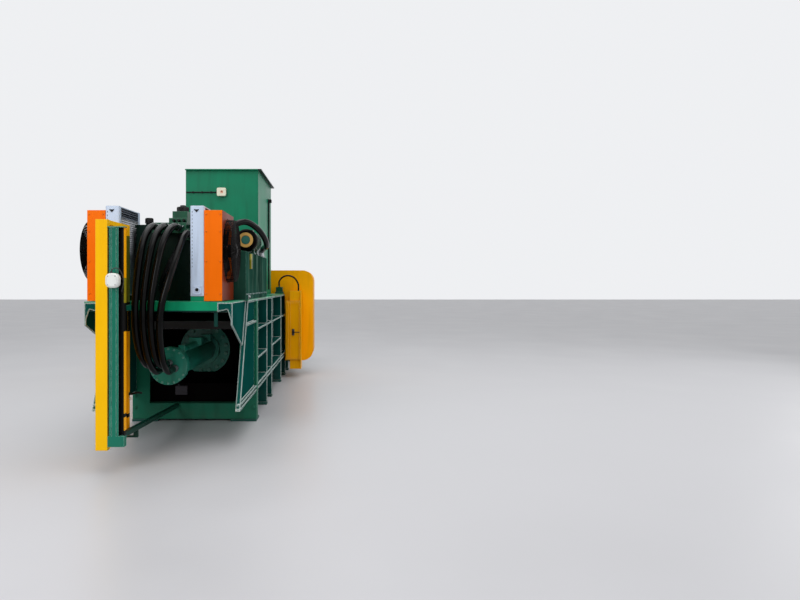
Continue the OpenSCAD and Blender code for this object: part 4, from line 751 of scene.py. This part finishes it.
def fanWheel(side):
    low, high = fans["wheel"]
    middle = fanPlace(side, (low + high) / 2)
    parts = revolve([(0.016, 0), (0.052, 0), (0.060, 0.006), (0.060, 0.036), (0.055, 0.042), (0.030, 0.044),
                     (0.016, 0.044)], fanPlace(side, low), (side, 0, 0), 40, closed=False)
    share = np.linspace(0, 1, 14)[:, None]
    radius = fans["hub"] - 0.006 + share * (fans["tip"] - fans["hub"] + 0.006)
    turn = fullTurn(22)[None]
    chord = fans["chord"][0] + (fans["chord"][1] - fans["chord"][0]) * np.sin(share * np.pi * 0.6)
    pitch = np.radians(fans["pitch"][0] + (fans["pitch"][1] - fans["pitch"][0]) * share)
    # Outline of the aerofoil: a flat oval bent by a sine of its own length
    along, thick = np.cos(turn) / 2, 0.0022 * np.sin(turn) * (1.3 - np.cos(turn)) + 0.004 * np.cos(np.cos(turn) * 1.5)
    tangent = chord * along * np.cos(pitch) - thick * np.sin(pitch) + 0.02 * share ** 2
    axial = np.clip(chord * along * np.sin(pitch) + thick * np.cos(pitch), -0.0215, 0.0215)
    for k in range(fans["blades"]):
        a = 2 * np.pi * k / fans["blades"]
        y = radius * np.cos(a) - tangent * np.sin(a)
        z = radius * np.sin(a) + tangent * np.cos(a)
        parts += loft(np.stack([side * axial + 0 * y, y, z], -1) + middle, first=False)
    return parts


# The guard: rings on a drum's wall and face, held by wires bent over its rim
def fanGuard(side):
    far, depth = fans["drum"]
    turn = fullTurn(96)
    circle = np.stack([np.zeros(96), np.cos(turn), np.sin(turn)], -1)
    base, face, near = fans["outer"] + 0.004, fans["outer"] + 0.004 + depth, fans["motor"] + 0.0142
    parts = []
    for i in range(fans["wallRings"]):
        out = base + i * depth / fans["wallRings"]
        parts += tube(fanPlace(side, out) + circle * far, fans["wire"], 6, wrap=True)
    for i in range(fans["faceRings"] + 1):
        r = near + (far - 0.004 - near) * i / fans["faceRings"]
        parts += tube(fanPlace(side, face) + circle * r, fans["wire"], 6, wrap=True)
    for k in range(fans["spokes"]):
        a = 2 * np.pi * (k + 0.5) / fans["spokes"]
        out = np.array([0, math.cos(a), math.sin(a)])
        bend = [fanPlace(side, depth) + out * r for depth, r in (
            (base - 0.004, far + 0.014), (base, far + 0.002), (base + 0.012, far), (face - 0.010, far),
            (face - 0.001, far - 0.009), (face, far - 0.03), (face, near))]
        parts += tube(np.array(bend), fans["wire"] * 1.2, 6, (1, 0.1, 0))
    return parts


# The motor: a body with cooling ribs, a flange bolted to the guard's inner ring and a shaft
def fanMotor(side):
    r, out = fans["motor"], fans["outer"]
    turn = fullTurn(144)
    ribs = r - 0.0055 + 0.0035 * (np.sin(turn * 36) > 0)
    heights = np.array([0.012, 0.070])[:, None]
    ring = np.stack(np.broadcast_arrays(side * heights, ribs * np.cos(turn), ribs * np.sin(turn)), -1)
    parts = loft(ring + fanPlace(side, out), False, False)
    axis = (side, 0, 0)
    for profile in ([(0.030, 0.004), (r - 0.004, 0.004), (r - 0.001, 0.007), (r - 0.001, 0.013), (0.050, 0.014)],
                    [(0.050, 0.068), (r - 0.001, 0.069), (r - 0.001, 0.078), (r - 0.006, 0.084), (0.046, 0.0875),
                     (0.030, 0.0885), (0.026, 0.094), (0.004, 0.094)],
                    [(r - 0.003, 0.0722), (0.075, 0.0722), (0.075, 0.0795), (r - 0.002, 0.0798)]):
        parts += revolve(profile, fanPlace(side, out), axis, 48)
    parts += rod(fanPlace(side, out - 0.062), fanPlace(side, out + 0.008), 0.012, 20)
    places = [fanPlace(side, out + 0.0798) + 0.070 * np.array([0, math.cos(a), math.sin(a)])
              for a in np.radians([30, 90, 150, 210, 270, 330])]
    parts += hexHeads(places, axis, 0.008, 0.005)
    return parts


for side, label in ((1, "right"), (-1, "left")):
    build(f"fan_wheel_{label}", fanWheel(side), "blackPlasticAndShade", f"fan_{label}",
          (f"cooler_fan_{label}",))
build("fan_guard_wires", fanGuard(1) + fanGuard(-1), "blackCoat", replaces=("fan_guards",))
build("fan_motor_bodies", fanMotor(1) + fanMotor(-1), "blackCoat",
      replaces=("cooler_motors",))
print("fans made")

# Hose ends: a crimped ferrule behind a flange that four socket screws hold
hoseEnds = {"flange": 0.0365, "ferrule": 0.0345, "length": 0.080, "grooves": 7}


def hoseEnd(place, direction):
    e = hoseEnds
    profile = [(0.005, 0), (0.033, 0), (e["flange"], 0.002), (e["flange"], 0.017), (0.034, 0.020), (0.022, 0.021),
               (0.021, 0.029), (0.030, 0.031)]
    for i in range(e["grooves"]):
        a = 0.033 + i * 0.0066
        profile += [(e["ferrule"], a), (e["ferrule"], a + 0.0042), (e["ferrule"] - 0.0018, a + 0.0054)]
    profile += [(e["ferrule"] - 0.001, e["length"] - 0.001), (0.0322, e["length"])]
    parts = revolve(profile, place, direction, 36)
    u, v, w = frames(direction)
    screws = [np.asarray(place) + 0.0275 * (math.cos(a) * u + math.sin(a) * v) + 0.0185 * w
              for a in np.radians([45, 135, 225, 315])]
    return parts + socketHeads(screws, direction, 0.012, 0.009)


ends = []
for place in (path[i] for path in hosePaths for i in (0, -1)):
    ends += hoseEnd(place + np.array([0, hoseEnds["length"], 0]), rearward)
build("hose_ends", ends, "darkSteel", replaces=("hose_fittings",))
bleed = [(160, -1200, 2150), (-120, -1200, 2150)]
build("test_points", [part for p in mm(bleed) for part in
                      hexHeads([p], rearward, 0.017, 0.010, washer=False) +
                      revolve([(0.0075, 0.010), (0.0075, 0.024), (0.006, 0.027)], p, rearward, 16)],
      "boltZinc")
print("hose ends made")

# Level sensor of the tower: cream case with a pale lens, cables in black tube
sensors = {"case": ((-0.065, 1.672, 2.843), (0.065, 1.716, 2.963)), "lens": (0.008, 2.903),
           "cable": 1.7285, "clips": (-0.16, -0.29, -0.42), "conduit": (0.530, 2.995),
           "straps": (1.62, 1.95, 2.28, 2.61)}


def towerSensors():
    low, high = sensors["case"]
    cases = roundBlock(at(low[0], low[1] + 0.010, low[2]), at(*high), 0.022, 1)
    cases += roundBlock(at(low[0] + 0.003, low[1], low[2] + 0.003),
                        at(high[0] - 0.003, low[1] + 0.011, high[2] - 0.003), 0.020, 1)
    x, z = sensors["lens"]
    lens = revolve([(0.022, 0), (0.022, 0.001), (0.019, 0.0012), (0.014, 0.0006), (0.004, 0.0)],
                   at(x, low[1] - 0.0002, z), rearward, 32)
    cases += revolve([(0.023, 0), (0.023, 0.024)], at(0, 1.716, z), forward, 24)
    s, conduit = sensors["cable"], sensors["conduit"]
    tubes = rod(at(-0.065, s, z), at(-0.512, s, z), 0.0088, 14)
    tubes += rod(at(*conduit, 1.505), at(*conduit, 2.912), 0.0125, 18)
    tubes += rod(at(-0.066, s, z), at(-0.088, s, z), 0.012, 6)
    for x in sensors["clips"]:
        tubes += stationBox((x, 1.718, 2.890), (x + 0.018, 1.7399, 2.916))
    for z in sensors["straps"]:
        tubes += stationBox((0.5171, 2.978, z), (0.5435, 3.012, z + 0.022))
    tubes += roundBlock(at(0.517, 2.9625, 2.9045), at(0.528, 3.0275, 2.9725), 0.008, 0)
    tubes += roundBlock(at(0.528, 2.968, 2.911), at(0.574, 3.022, 2.966), 0.010, 1)
    return cases, lens, tubes


cases, lens, tubes = towerSensors()
build("sensor_cases", cases, "creamCase", replaces=("hopper_sensors",), bevel=0.002)
build("sensor_lens", lens, "sensorOrange")
build("sensor_tubes", tubes, "blackRubber")
print("sensors made")

# Motor of the pump: ribbed body on feet, a black cowl with a tan ring round its blanking disc, a terminal box
pump = {"x": 0.600, "rear": -0.050, "z": 2.100, "r": 0.130, "ribs": 40, "ring": (0.052, 0.086)}


def pumpMotor():
    p = pump
    back = at(p["x"], p["rear"], p["z"])
    turn = fullTurn(p["ribs"] * 4)
    ribs = p["r"] - 0.019 + 0.014 * (np.arange(p["ribs"] * 4) % 4 < 2)
    heights = np.array([0.085, 0.415])[:, None]
    ring = np.stack(np.broadcast_arrays(ribs * np.cos(turn), heights, ribs * np.sin(turn)), -1)
    body = loft(ring + back, False, False, flip=True)
    axis = forward
    r = p["r"]
    body += revolve([(0.09, 0.084), (r - 0.006, 0.086), (r - 0.002, 0.090), (r - 0.002, 0.100), (0.10, 0.102)],
                    back, axis, 56)
    body += revolve([(0.10, 0.410), (r - 0.004, 0.412), (r, 0.418), (r, 0.455), (r - 0.010, 0.462), (0.105, 0.474),
                     (0.06, 0.4798)], back, axis, 56)
    body += roundBlock(back + (-0.060, 0.150, 0.09), back + (0.060, 0.290, 0.1295), 0.012, 2)
    for x in (-0.095, 0.055):
        for s in (0.090, 0.350):
            low = back + (x, s, 1.930 - p["z"])
            body += box(low, low + (0.040, 0.060, 0.012))
            body += box(low + (0.010, 0.004, 0.012), low + (0.030, 0.056, 0.09))
    cowl = revolve([(0.050, -0.0005), (0.088, 0.0), (0.108, 0.006), (0.122, 0.020), (r - 0.002, 0.038),
                    (r - 0.002, 0.094), (0.11, 0.095)], back, axis, 56, closed=False)
    for i in range(3):
        a = 0.050 + i * 0.012
        cowl += revolve([(r - 0.0025, a), (r, a + 0.001), (r, a + 0.004), (r - 0.0025, a + 0.005)], back, axis, 56,
                        closed=False)
    tan = revolve([(p["ring"][0], -0.0012), (p["ring"][0], -0.003), (p["ring"][1], -0.003), (p["ring"][1], 0.001)],
                  back, axis, 56, closed=False)
    disc = revolve([(0.004, -0.0005), (0.040, -0.0005), (p["ring"][0], 0.001)], back, axis, 48)
    disc += stationBox((p["x"] - 0.052, p["rear"] - 0.0002, p["z"] + 0.010),
                       (p["x"] - 0.012, p["rear"] + 0.002, p["z"] + 0.026))
    heads = [back + (0.118 * math.cos(a), 0.4600, 0.118 * math.sin(a)) for a in np.radians(range(22, 382, 45))]
    nuts = hexHeads([back + (x + 0.020, s + 0.030, 1.9425 - p["z"]) for x in (-0.110, 0.070) for s in (0.090, 0.350)],
                    upward, 0.018, 0.010)
    return body, cowl, tan, disc, nuts + socketHeads(heads, forward, 0.014, 0.008)


body, cowl, tan, disc, heads = pumpMotor()
build("pump_motor_body", body, "hydraulicGreen", replaces=("pump_motor",), bevel=0.0015)
for name, parts, finish in (("cowl", cowl, "blackCoat"), ("ring", tan, "tanDisc"), ("disc", disc, "sealTeal"),
                            ("bolts", heads, "boltZinc")):
    build("pump_motor_" + name, parts, finish)

# Hose socket on the housing: a collar, and a bright crimped sleeve that narrows up the hose's last stretch
socket = at(0.680, 0.715, 1.930)
sleeve = smoothPath(mm(cords["motor_hose"]["run"]), 16)[-30:-1]
share = np.linspace(1, 0, len(sleeve))
build("hose_socket", tube(sleeve, 0.0385 + 0.010 * (1 - share) + 0.0006 * np.sin(share * 60), 28, (0, 1, 0.2))
      + revolve([(0.056, 0.0005), (0.056, 0.010), (0.050, 0.012), (0.050, 0.020), (0.046, 0.022)], socket, upward,
                36, closed=False)
      + hexHeads([socket + (0.050 * math.cos(a), 0.050 * math.sin(a), 0.0098) for a in (0.78, 2.36, 3.93, 5.5)],
                 upward, 0.010, 0.006, washer=False), "boltZinc")
print("pump motor made")

# Hinged pieces of the rear guard: hinge plate, handle and a round knob on the leaf's far stile
guardTrim = {"stile": -1.540, "leaf": (-0.352, -0.252), "hinge": (1.155, 1.423), "handle": (-0.136, 0.577),
             "bar": -1.562}


def guardPieces():
    g = guardTrim
    x0, x1 = g["leaf"]
    plate = stationBox((x0 + 0.002, g["stile"] - 0.057, g["hinge"][0]),
                       (x1 - 0.001, g["stile"] - 0.0555, g["hinge"][1]))
    plate += stationBox((x1 - 0.0005, g["stile"] - 0.054, g["hinge"][0]), (x1 + 0.002, g["stile"], g["hinge"][1]))
    plate += hexHeads([at(x1 + 0.002, g["stile"] - 0.028, z) for z in
                       np.linspace(g["hinge"][0] + 0.03, g["hinge"][1] - 0.03, 4)], (1, 0, 0), 0.012, 0.005)
    plate += hexHeads([at(x, g["stile"] - 0.057, z) for x in (x0 + 0.02, x1 - 0.02) for z in
                       np.linspace(g["hinge"][0] + 0.025, g["hinge"][1] - 0.025, 4)], rearward, 0.012, 0.006)
    s, (tip, z) = g["bar"], g["handle"]
    bar = smoothPath([at(x1 - 0.002, s, z), at(x1 + 0.028, s - 0.002, z), at(x1 + 0.075, s + 0.002, z + 0.012),
                      at(tip, s + 0.010, z + 0.006)], 6)
    handle = tube(bar, 0.0095, 12, upward)
    handle += revolve([(0.016, 0), (0.016, 0.006), (0.012, 0.009)], at(x1 - 0.001, s, z), (1, 0, 0), 20)
    knob = revolve([(0.004, 0), (0.011, 0.002), (0.0125, 0.008), (0.009, 0.014), (0.003, 0.016)],
                   at(x1 + 0.018, s - 0.001, z - 0.040), (0.2, -1, 0), 20)
    knob += rod(at(x1 - 0.001, s, z - 0.040), at(x1 + 0.018, s - 0.001, z - 0.040), 0.005, 10)
    return plate, handle, knob


plate, handle, knob = guardPieces()
for name, parts, finish in (("hinge_plate", plate, "blackCoat"), ("handle", handle, "blackPlasticAndShade"),
                            ("knob", knob, "whiteCase")):
    build("leaf_" + name, parts, finish, "guard_leaf")

# Welded mesh over the leaf's sheet: wires along the machine cross upright ones
meshWire = {"pitch": 0.045, "r": 0.002, "s": (-2.066, -1.594), "z": (0.236, 2.089), "x": -0.298}


def leafMesh():
    m = meshWire
    parts = []
    for z in np.arange(m["z"][0] + 0.02, m["z"][1], m["pitch"]):
        parts += rod(at(m["x"], m["s"][0], z), at(m["x"], m["s"][1], z), m["r"], 6)
    for s in np.arange(m["s"][0] + 0.02, m["s"][1], m["pitch"]):
        parts += rod(at(m["x"] + 0.0035, s, m["z"][0]), at(m["x"] + 0.0035, s, m["z"][1]), m["r"], 6)
    return parts


build("leaf_mesh", leafMesh(), "doorYellow", "guard_leaf")

# Interlock switch: a case with a seam round its lid, four screws and a gland for the cable
switch = {"low": (-0.251, -2.191, 1.555), "high": (-0.137, -2.129, 1.679), "r": 0.044,
          "seam": -2.160, "rise": 0.0305, "tall": 0.062}


def interlock():
    low, high, r = switch["low"], switch["high"], switch["r"]
    case = roundBlock(at(low[0] + 0.001, -2.158, low[2] + 0.001), at(high[0] - 0.001, high[1], high[2] - 0.001),
                      r - 0.001, 1, 8)
    case += roundBlock(at(low[0] + 0.003, switch["seam"], low[2] + 0.003),
                       at(high[0] - 0.003, switch["seam"] + 0.003, high[2] - 0.003), r - 0.003, 1, 8)
    x, z = (low[0] + high[0]) / 2, (low[2] + high[2]) / 2
    # The lid's dome: rings of the rounded square shrink as a quarter circle towards its face
    half = (high[0] - low[0]) / 2
    turn = np.linspace(0, np.pi / 2, 9)
    corner = [(sx * (half - r), sz * (switch["tall"] - r)) for sx, sz in ((1, 1), (-1, 1), (-1, -1), (1, -1))]
    rings = []
    for a in np.linspace(0, np.pi / 2, 6):
        rad = max(r - 0.016 * (1 - math.cos(a)), 0.004)
        rings.append(np.concatenate([np.stack([x + c[0] + rad * np.cos(turn + k * np.pi / 2),
                                               np.full(9, switch["seam"] - switch["rise"] * math.sin(a)),
                                               z + c[1] + rad * np.sin(turn + k * np.pi / 2)], -1)
                                     for k, c in enumerate(corner)]))
    points = np.stack(rings) + (0, portalY, 0)
    n = points.shape[1]
    case += [(points.reshape(-1, 3), [gridFaces(6, n, wrapCols=True)[:, ::-1], np.arange(n)[None] + 5 * n])]
    screws = socketHeads([at(x + a, -2.1895, z + b) for a in (-0.031, 0.031) for b in (-0.036, 0.036)], rearward,
                         0.009, 0.0015)
    gland = revolve([(0.012, -0.004), (0.012, 0.004), (0.0095, 0.006), (0.0095, 0.013), (0.0055, 0.016)],
                    at(-0.205, switch["seam"], high[2]), upward, 6)
    pad = stationBox((-0.236, -2.129, 1.572), (-0.160, -2.1202, 1.662))
    return case, screws + gland + pad


case, trim = interlock()
build("switch_case", case, "whiteCase", replaces=("interlock_switch",))
build("switch_trim", trim, "greyCase")
print("rear guard trimmed")

# Box on the apron between the portal's legs, with a lid, corner screws and a cable entry
apron = {"low": (-0.247, 0.084, 0.289), "high": (-0.105, 0.1195, 0.393)}
low, high = apron["low"], apron["high"]
build("apron_box", roundBlock(at(low[0], low[1] + 0.006, low[2]), at(*high), 0.006, 1) +
      roundBlock(at(low[0] + 0.003, low[1], low[2] + 0.003), at(high[0] - 0.003, low[1] + 0.0065, high[2] - 0.003),
                 0.006, 1) +
      socketHeads([at(a, low[1], b) for a in (low[0] + 0.012, high[0] - 0.012)
                   for b in (low[2] + 0.012, high[2] - 0.012)],
                  rearward, 0.008, 0.002) +
      revolve([(0.012, 0), (0.012, 0.010), (0.009, 0.012), (0.009, 0.022)], at(-0.210, 0.102, 0.393), upward, 6),
      "greyCase", bevel=0.001)

# Bolt heads by the row: shroud edges, corners of the rear portal, tank rim
shroudRow = {"finish": "shroudOrange", "slot": "cooler_shrouds", "size": 0.011, "height": 0.005, "way": rearward}
shroudHeights = (1.50, 1.80, 2.08, 2.24)
rows = {
    "shroudRight": {**shroudRow, "places": [(x, -1.490, z) for x in (0.444, 0.574) for z in shroudHeights]},
    "shroudLeft": {**shroudRow, "places": [(x, -1.490, z) for x in (-0.516, -0.646) for z in shroudHeights]},
    "portalCorners": {"finish": "portalGreen", "slot": "rear_portal", "size": 0.030, "height": 0.018,
                      "way": rearward,
                      "places": [(x, 0.0, z) for x in (-0.69, 0.69) for z in (0.16, 0.30, 1.20, 1.33)]},
    "motorFlange": {"finish": "boltZinc", "slot": "oil_tank", "size": 0.016, "height": 0.009, "way": upward,
                    "places": [(x, s, 2.1800) for x in (-0.30, 0.23) for s in (-0.90, -0.62, -0.34)]},
}
for name, r in rows.items():
    build("bolts_" + name, hexHeads([at(*p) for p in r["places"]], r["way"], r["size"], r["height"]), r["finish"])

# The filter's ribbed cap and the tank's filler cap
filterCap = {"place": at(0.096, -0.950, 2.320), "r": 0.0585, "wave": 0.003, "lobes": 24, "sides": 144}
fillerCap = {"place": at(-0.235, -0.985, 2.180), "r": 0.040, "wave": 0.0015, "lobes": 16, "sides": 96}


# A cap from levels of (height, share of the radius). lobe turns the cosine round it into a wave
def ribbedCap(facts, levels, lobe, first=True):
    turn = fullTurn(facts["sides"])
    wall = facts["r"] + facts["wave"] * lobe(np.cos(turn * facts["lobes"]))
    rings = [np.stack([wall * k * np.cos(turn), wall * k * np.sin(turn), np.full(len(turn), z)], -1)
             for z, k in levels]
    return loft(np.array(rings) + facts["place"], first)


build("filter_cap", ribbedCap(filterCap, [(0.0, 1.0), (0.040, 1.0), (0.047, 0.96), (0.050, 0.88), (0.0502, 0.5)],
                              np.asarray, first=False)
      + revolve([(0.030, 0.049), (0.030, 0.062), (0.026, 0.0675), (0.012, 0.068)], filterCap["place"], upward, 6),
      "blackPlasticAndShade", replaces=("filter",))
build("tank_filler", ribbedCap(fillerCap, [(0.022, 1.0), (0.060, 1.0), (0.070, 0.94), (0.075, 0.82)], np.sign)
      + revolve([(0.046, 0.0), (0.046, 0.006), (0.034, 0.008), (0.034, 0.022)], fillerCap["place"], upward, 32),
      "blackPlasticAndShade")
# A thin strip along the housing's foot with bolt heads; wallTeal's near-white edges make it a painted highlight
build("housing_foot", stationBox((0.7203, -0.850, 1.4753), (0.7225, 1.020, 1.492)) +
      hexHeads([at(0.7225, s, 1.484) for s in np.arange(-0.78, 1.0, 0.25)], (1, 0, 0), 0.010, 0.005, washer=False),
      "wallTeal")
build("deck_eye", hexHeads([at(0.720, -0.650, 1.455)], (1, 0, 0), 0.026, 0.016), "boltZinc")
print("small parts made")

# Wire cabinet: folded panels, a bright gutter on the edge, and the latch's plate
cabinet = {"x": (0.760, 1.020), "s": 3.482, "low": 0.305, "high": 1.308, "latch": (0.890, 0.780)}


def cabinetTrim():
    c = cabinet
    x0, x1 = c["x"]
    face = c["s"] - 0.0075
    fold = []
    for x in (0.800, 0.838, 0.985):
        fold += roundBlock(at(x, face - 0.004, c["low"] + 0.03),
                           at(x + 0.010, face + 0.001, c["high"] - 0.03), 0.003)
    for z in (c["low"] + 0.024, c["high"] - 0.036):
        fold += stationBox((0.772, face - 0.003, z), (0.992, face + 0.001, z + 0.010))
    edge = roundBlock(at(x1 - 0.0095, c["s"] - 0.006, 0.156), at(x1 - 0.0015, c["s"] + 0.001, 1.474), 0.002)
    lx, lz = c["latch"]
    plate = roundBlock(at(lx - 0.022, face - 0.003, lz - 0.055), at(lx + 0.022, face + 0.001, lz + 0.055), 0.008, 1)
    heads = hexHeads([at(lx, face - 0.003, lz + b) for b in (-0.042, 0.042)], rearward, 0.010, 0.005)
    return fold, edge, plate + heads


fold, edge, plate = cabinetTrim()
build("cabinet_folds", fold, "amberYellow", "cabinet_door")
build("cabinet_edge", edge, "doorYellow")
build("cabinet_latch_plate", plate, "darkSteel", "cabinet_door")

# Latch lever: a boss with a turned crown and a lever that tapers to a rounded tip
lx, lz = cabinet["latch"]
share = np.linspace(0, 1, 12)[:, None]
turn = fullTurn(16)[None]
wide = 0.0088 - 0.0022 * share
thick = 0.0048 * np.sqrt(np.clip(1 - np.maximum(0, (share - 0.85) / 0.15) ** 2, 0.05, 1))
lever = np.stack(np.broadcast_arrays(lx - 0.009 + share * 0.118, -0.0170 - 0.0012 * np.sin(share * 3.1) +
                                     thick * np.sin(turn) + cabinet["s"] - 0.007 + portalY,
                                     lz + wide * np.cos(turn)), -1)
build("latch_lever_form", loft(lever)
      + revolve([(0.016, 0.0003), (0.016, 0.009), (0.0135, 0.013), (0.010, 0.0145), (0.010, 0.021), (0.006, 0.022)],
                at(lx, cabinet["s"] - 0.007, lz), rearward, 28), "blackPlasticAndShade", "latch_lever",
      ("tie_latch",))
print("wire cabinet trimmed")


# Valve banks: solenoid coils with ribs, and plugs
def solenoid(base, direction, length=0.052, r=0.0165):
    profile = [(r * 0.7, 0.0), (r * 0.7, 0.006), (r, 0.007)]
    for i in range(4):
        a = 0.008 + i * (length - 0.014) / 4
        profile += [(r, a), (r, a + 0.006), (r * 0.93, a + 0.0068), (r * 0.93, a + 0.0082)]
    profile += [(r, length - 0.006), (r * 0.8, length - 0.003), (r * 0.35, length - 0.002),
                (r * 0.35, length + 0.006)]
    return revolve(profile, base, direction, 24)


coils, plugs = [], []
for s in (3.605, 3.685):
    for x in (0.600, 0.680):
        coils += roundBlock(at(x - 0.017, s - 0.014, 1.4605), at(x + 0.017, s + 0.020, 1.4995), 0.004, 2)
        coils += solenoid(at(x, s + 0.003, 1.4995), upward, 0.038, 0.013)
        plugs += roundBlock(at(x - 0.011, s - 0.024, 1.470), at(x + 0.011, s - 0.0135, 1.494), 0.003, 1)
build("valve_coils", coils, "blackPlasticAndShade", bevel=0.0008)
build("valve_plugs", plugs, "whiteCase", bevel=0.0008)
tankCoils = []
for x in (0.035, 0.085, 0.135):
    tankCoils += solenoid(at(x, -1.050, 2.222), rearward, 0.040, 0.0145)
build("tank_valve_coils", tankCoils, "blackPlasticAndShade")
print("valves dressed")

# Room and light
room = {"floor": "#c9c9cd", "sky": (0.86, 0.87, 0.89, 1.0), "fill": 0.50}


def makeRoom():
    points = [(-60, -60, 0), (60, -60, 0), (60, 60, 0), (-60, 60, 0)]
    mesh = bpy.data.meshes.new("floor")
    mesh.from_pydata(points, [], [(0, 1, 2, 3)])
    floor = bpy.data.objects.new("floor", mesh)
    bpy.context.scene.collection.objects.link(floor)
    mat, tree, shader = startMaterial("paleFloor")
    cloud = noise(tree, objectPlace(tree), 0.7, 6.0)
    base = hexTint(room["floor"])
    feedShader(tree, shader, blend(tree, cloud, scaled(base, 0.9), base), remap(tree, cloud, 0.3, 0.7, (0.34, 0.46)))
    mesh.materials.append(mat)
    world = bpy.data.worlds.new("room")
    bpy.context.scene.world = world
    world.use_nodes = True
    tree = world.node_tree
    tree.nodes.clear()
    # The backdrop shows to the camera, and to glossy and transmission rays
    path = node(tree, "LightPath").outputs
    some = calc(tree, "ADD", path["Is Camera Ray"], path["Is Glossy Ray"])
    seen = calc(tree, "ADD", some, path["Is Transmission Ray"], True)
    out = tree.nodes.new("ShaderNodeOutputWorld")
    soft = node(tree, "Background", in_Color=(1.0, 1.0, 1.0, 1.0), in_Strength=room["fill"])
    back = node(tree, "Background", in_Color=room["sky"], in_Strength=1.0)
    mix = node(tree, "MixShader", (0, seen), (1, soft.outputs[0]), (2, back.outputs[0]))
    tree.links.new(mix.outputs[0], out.inputs[0])


def areaLamp(name, place, aim, size, power, colour=(1.0, 1.0, 1.0)):
    data = bpy.data.lights.new(name, "AREA")
    data.shape, data.size, data.size_y, data.energy, data.color = "RECTANGLE", size[0], size[1], power, colour
    lamp = bpy.data.objects.new(name, data)
    turn = frames(np.asarray(place, float) - np.asarray(aim, float))
    lamp.matrix_world = Matrix.Translation(place) @ Matrix(turn.T.tolist()).to_4x4()
    bpy.context.scene.collection.objects.link(lamp)


makeRoom()
areaLamp("roofLight", (1.0, -3.0, 9.0), (0.2, -1.0, 0.0), (7, 12), 520)
areaLamp("rearLight", (-3.5, -12.0, 5.5), (-0.2, -3.5, 1.2), (6, 4), 330)
areaLamp("doorLight", (10.0, -2.0, 4.0), (0.7, -1.0, 1.2), (10, 5), 150)
bpy.context.scene.view_settings.view_transform = "Standard"
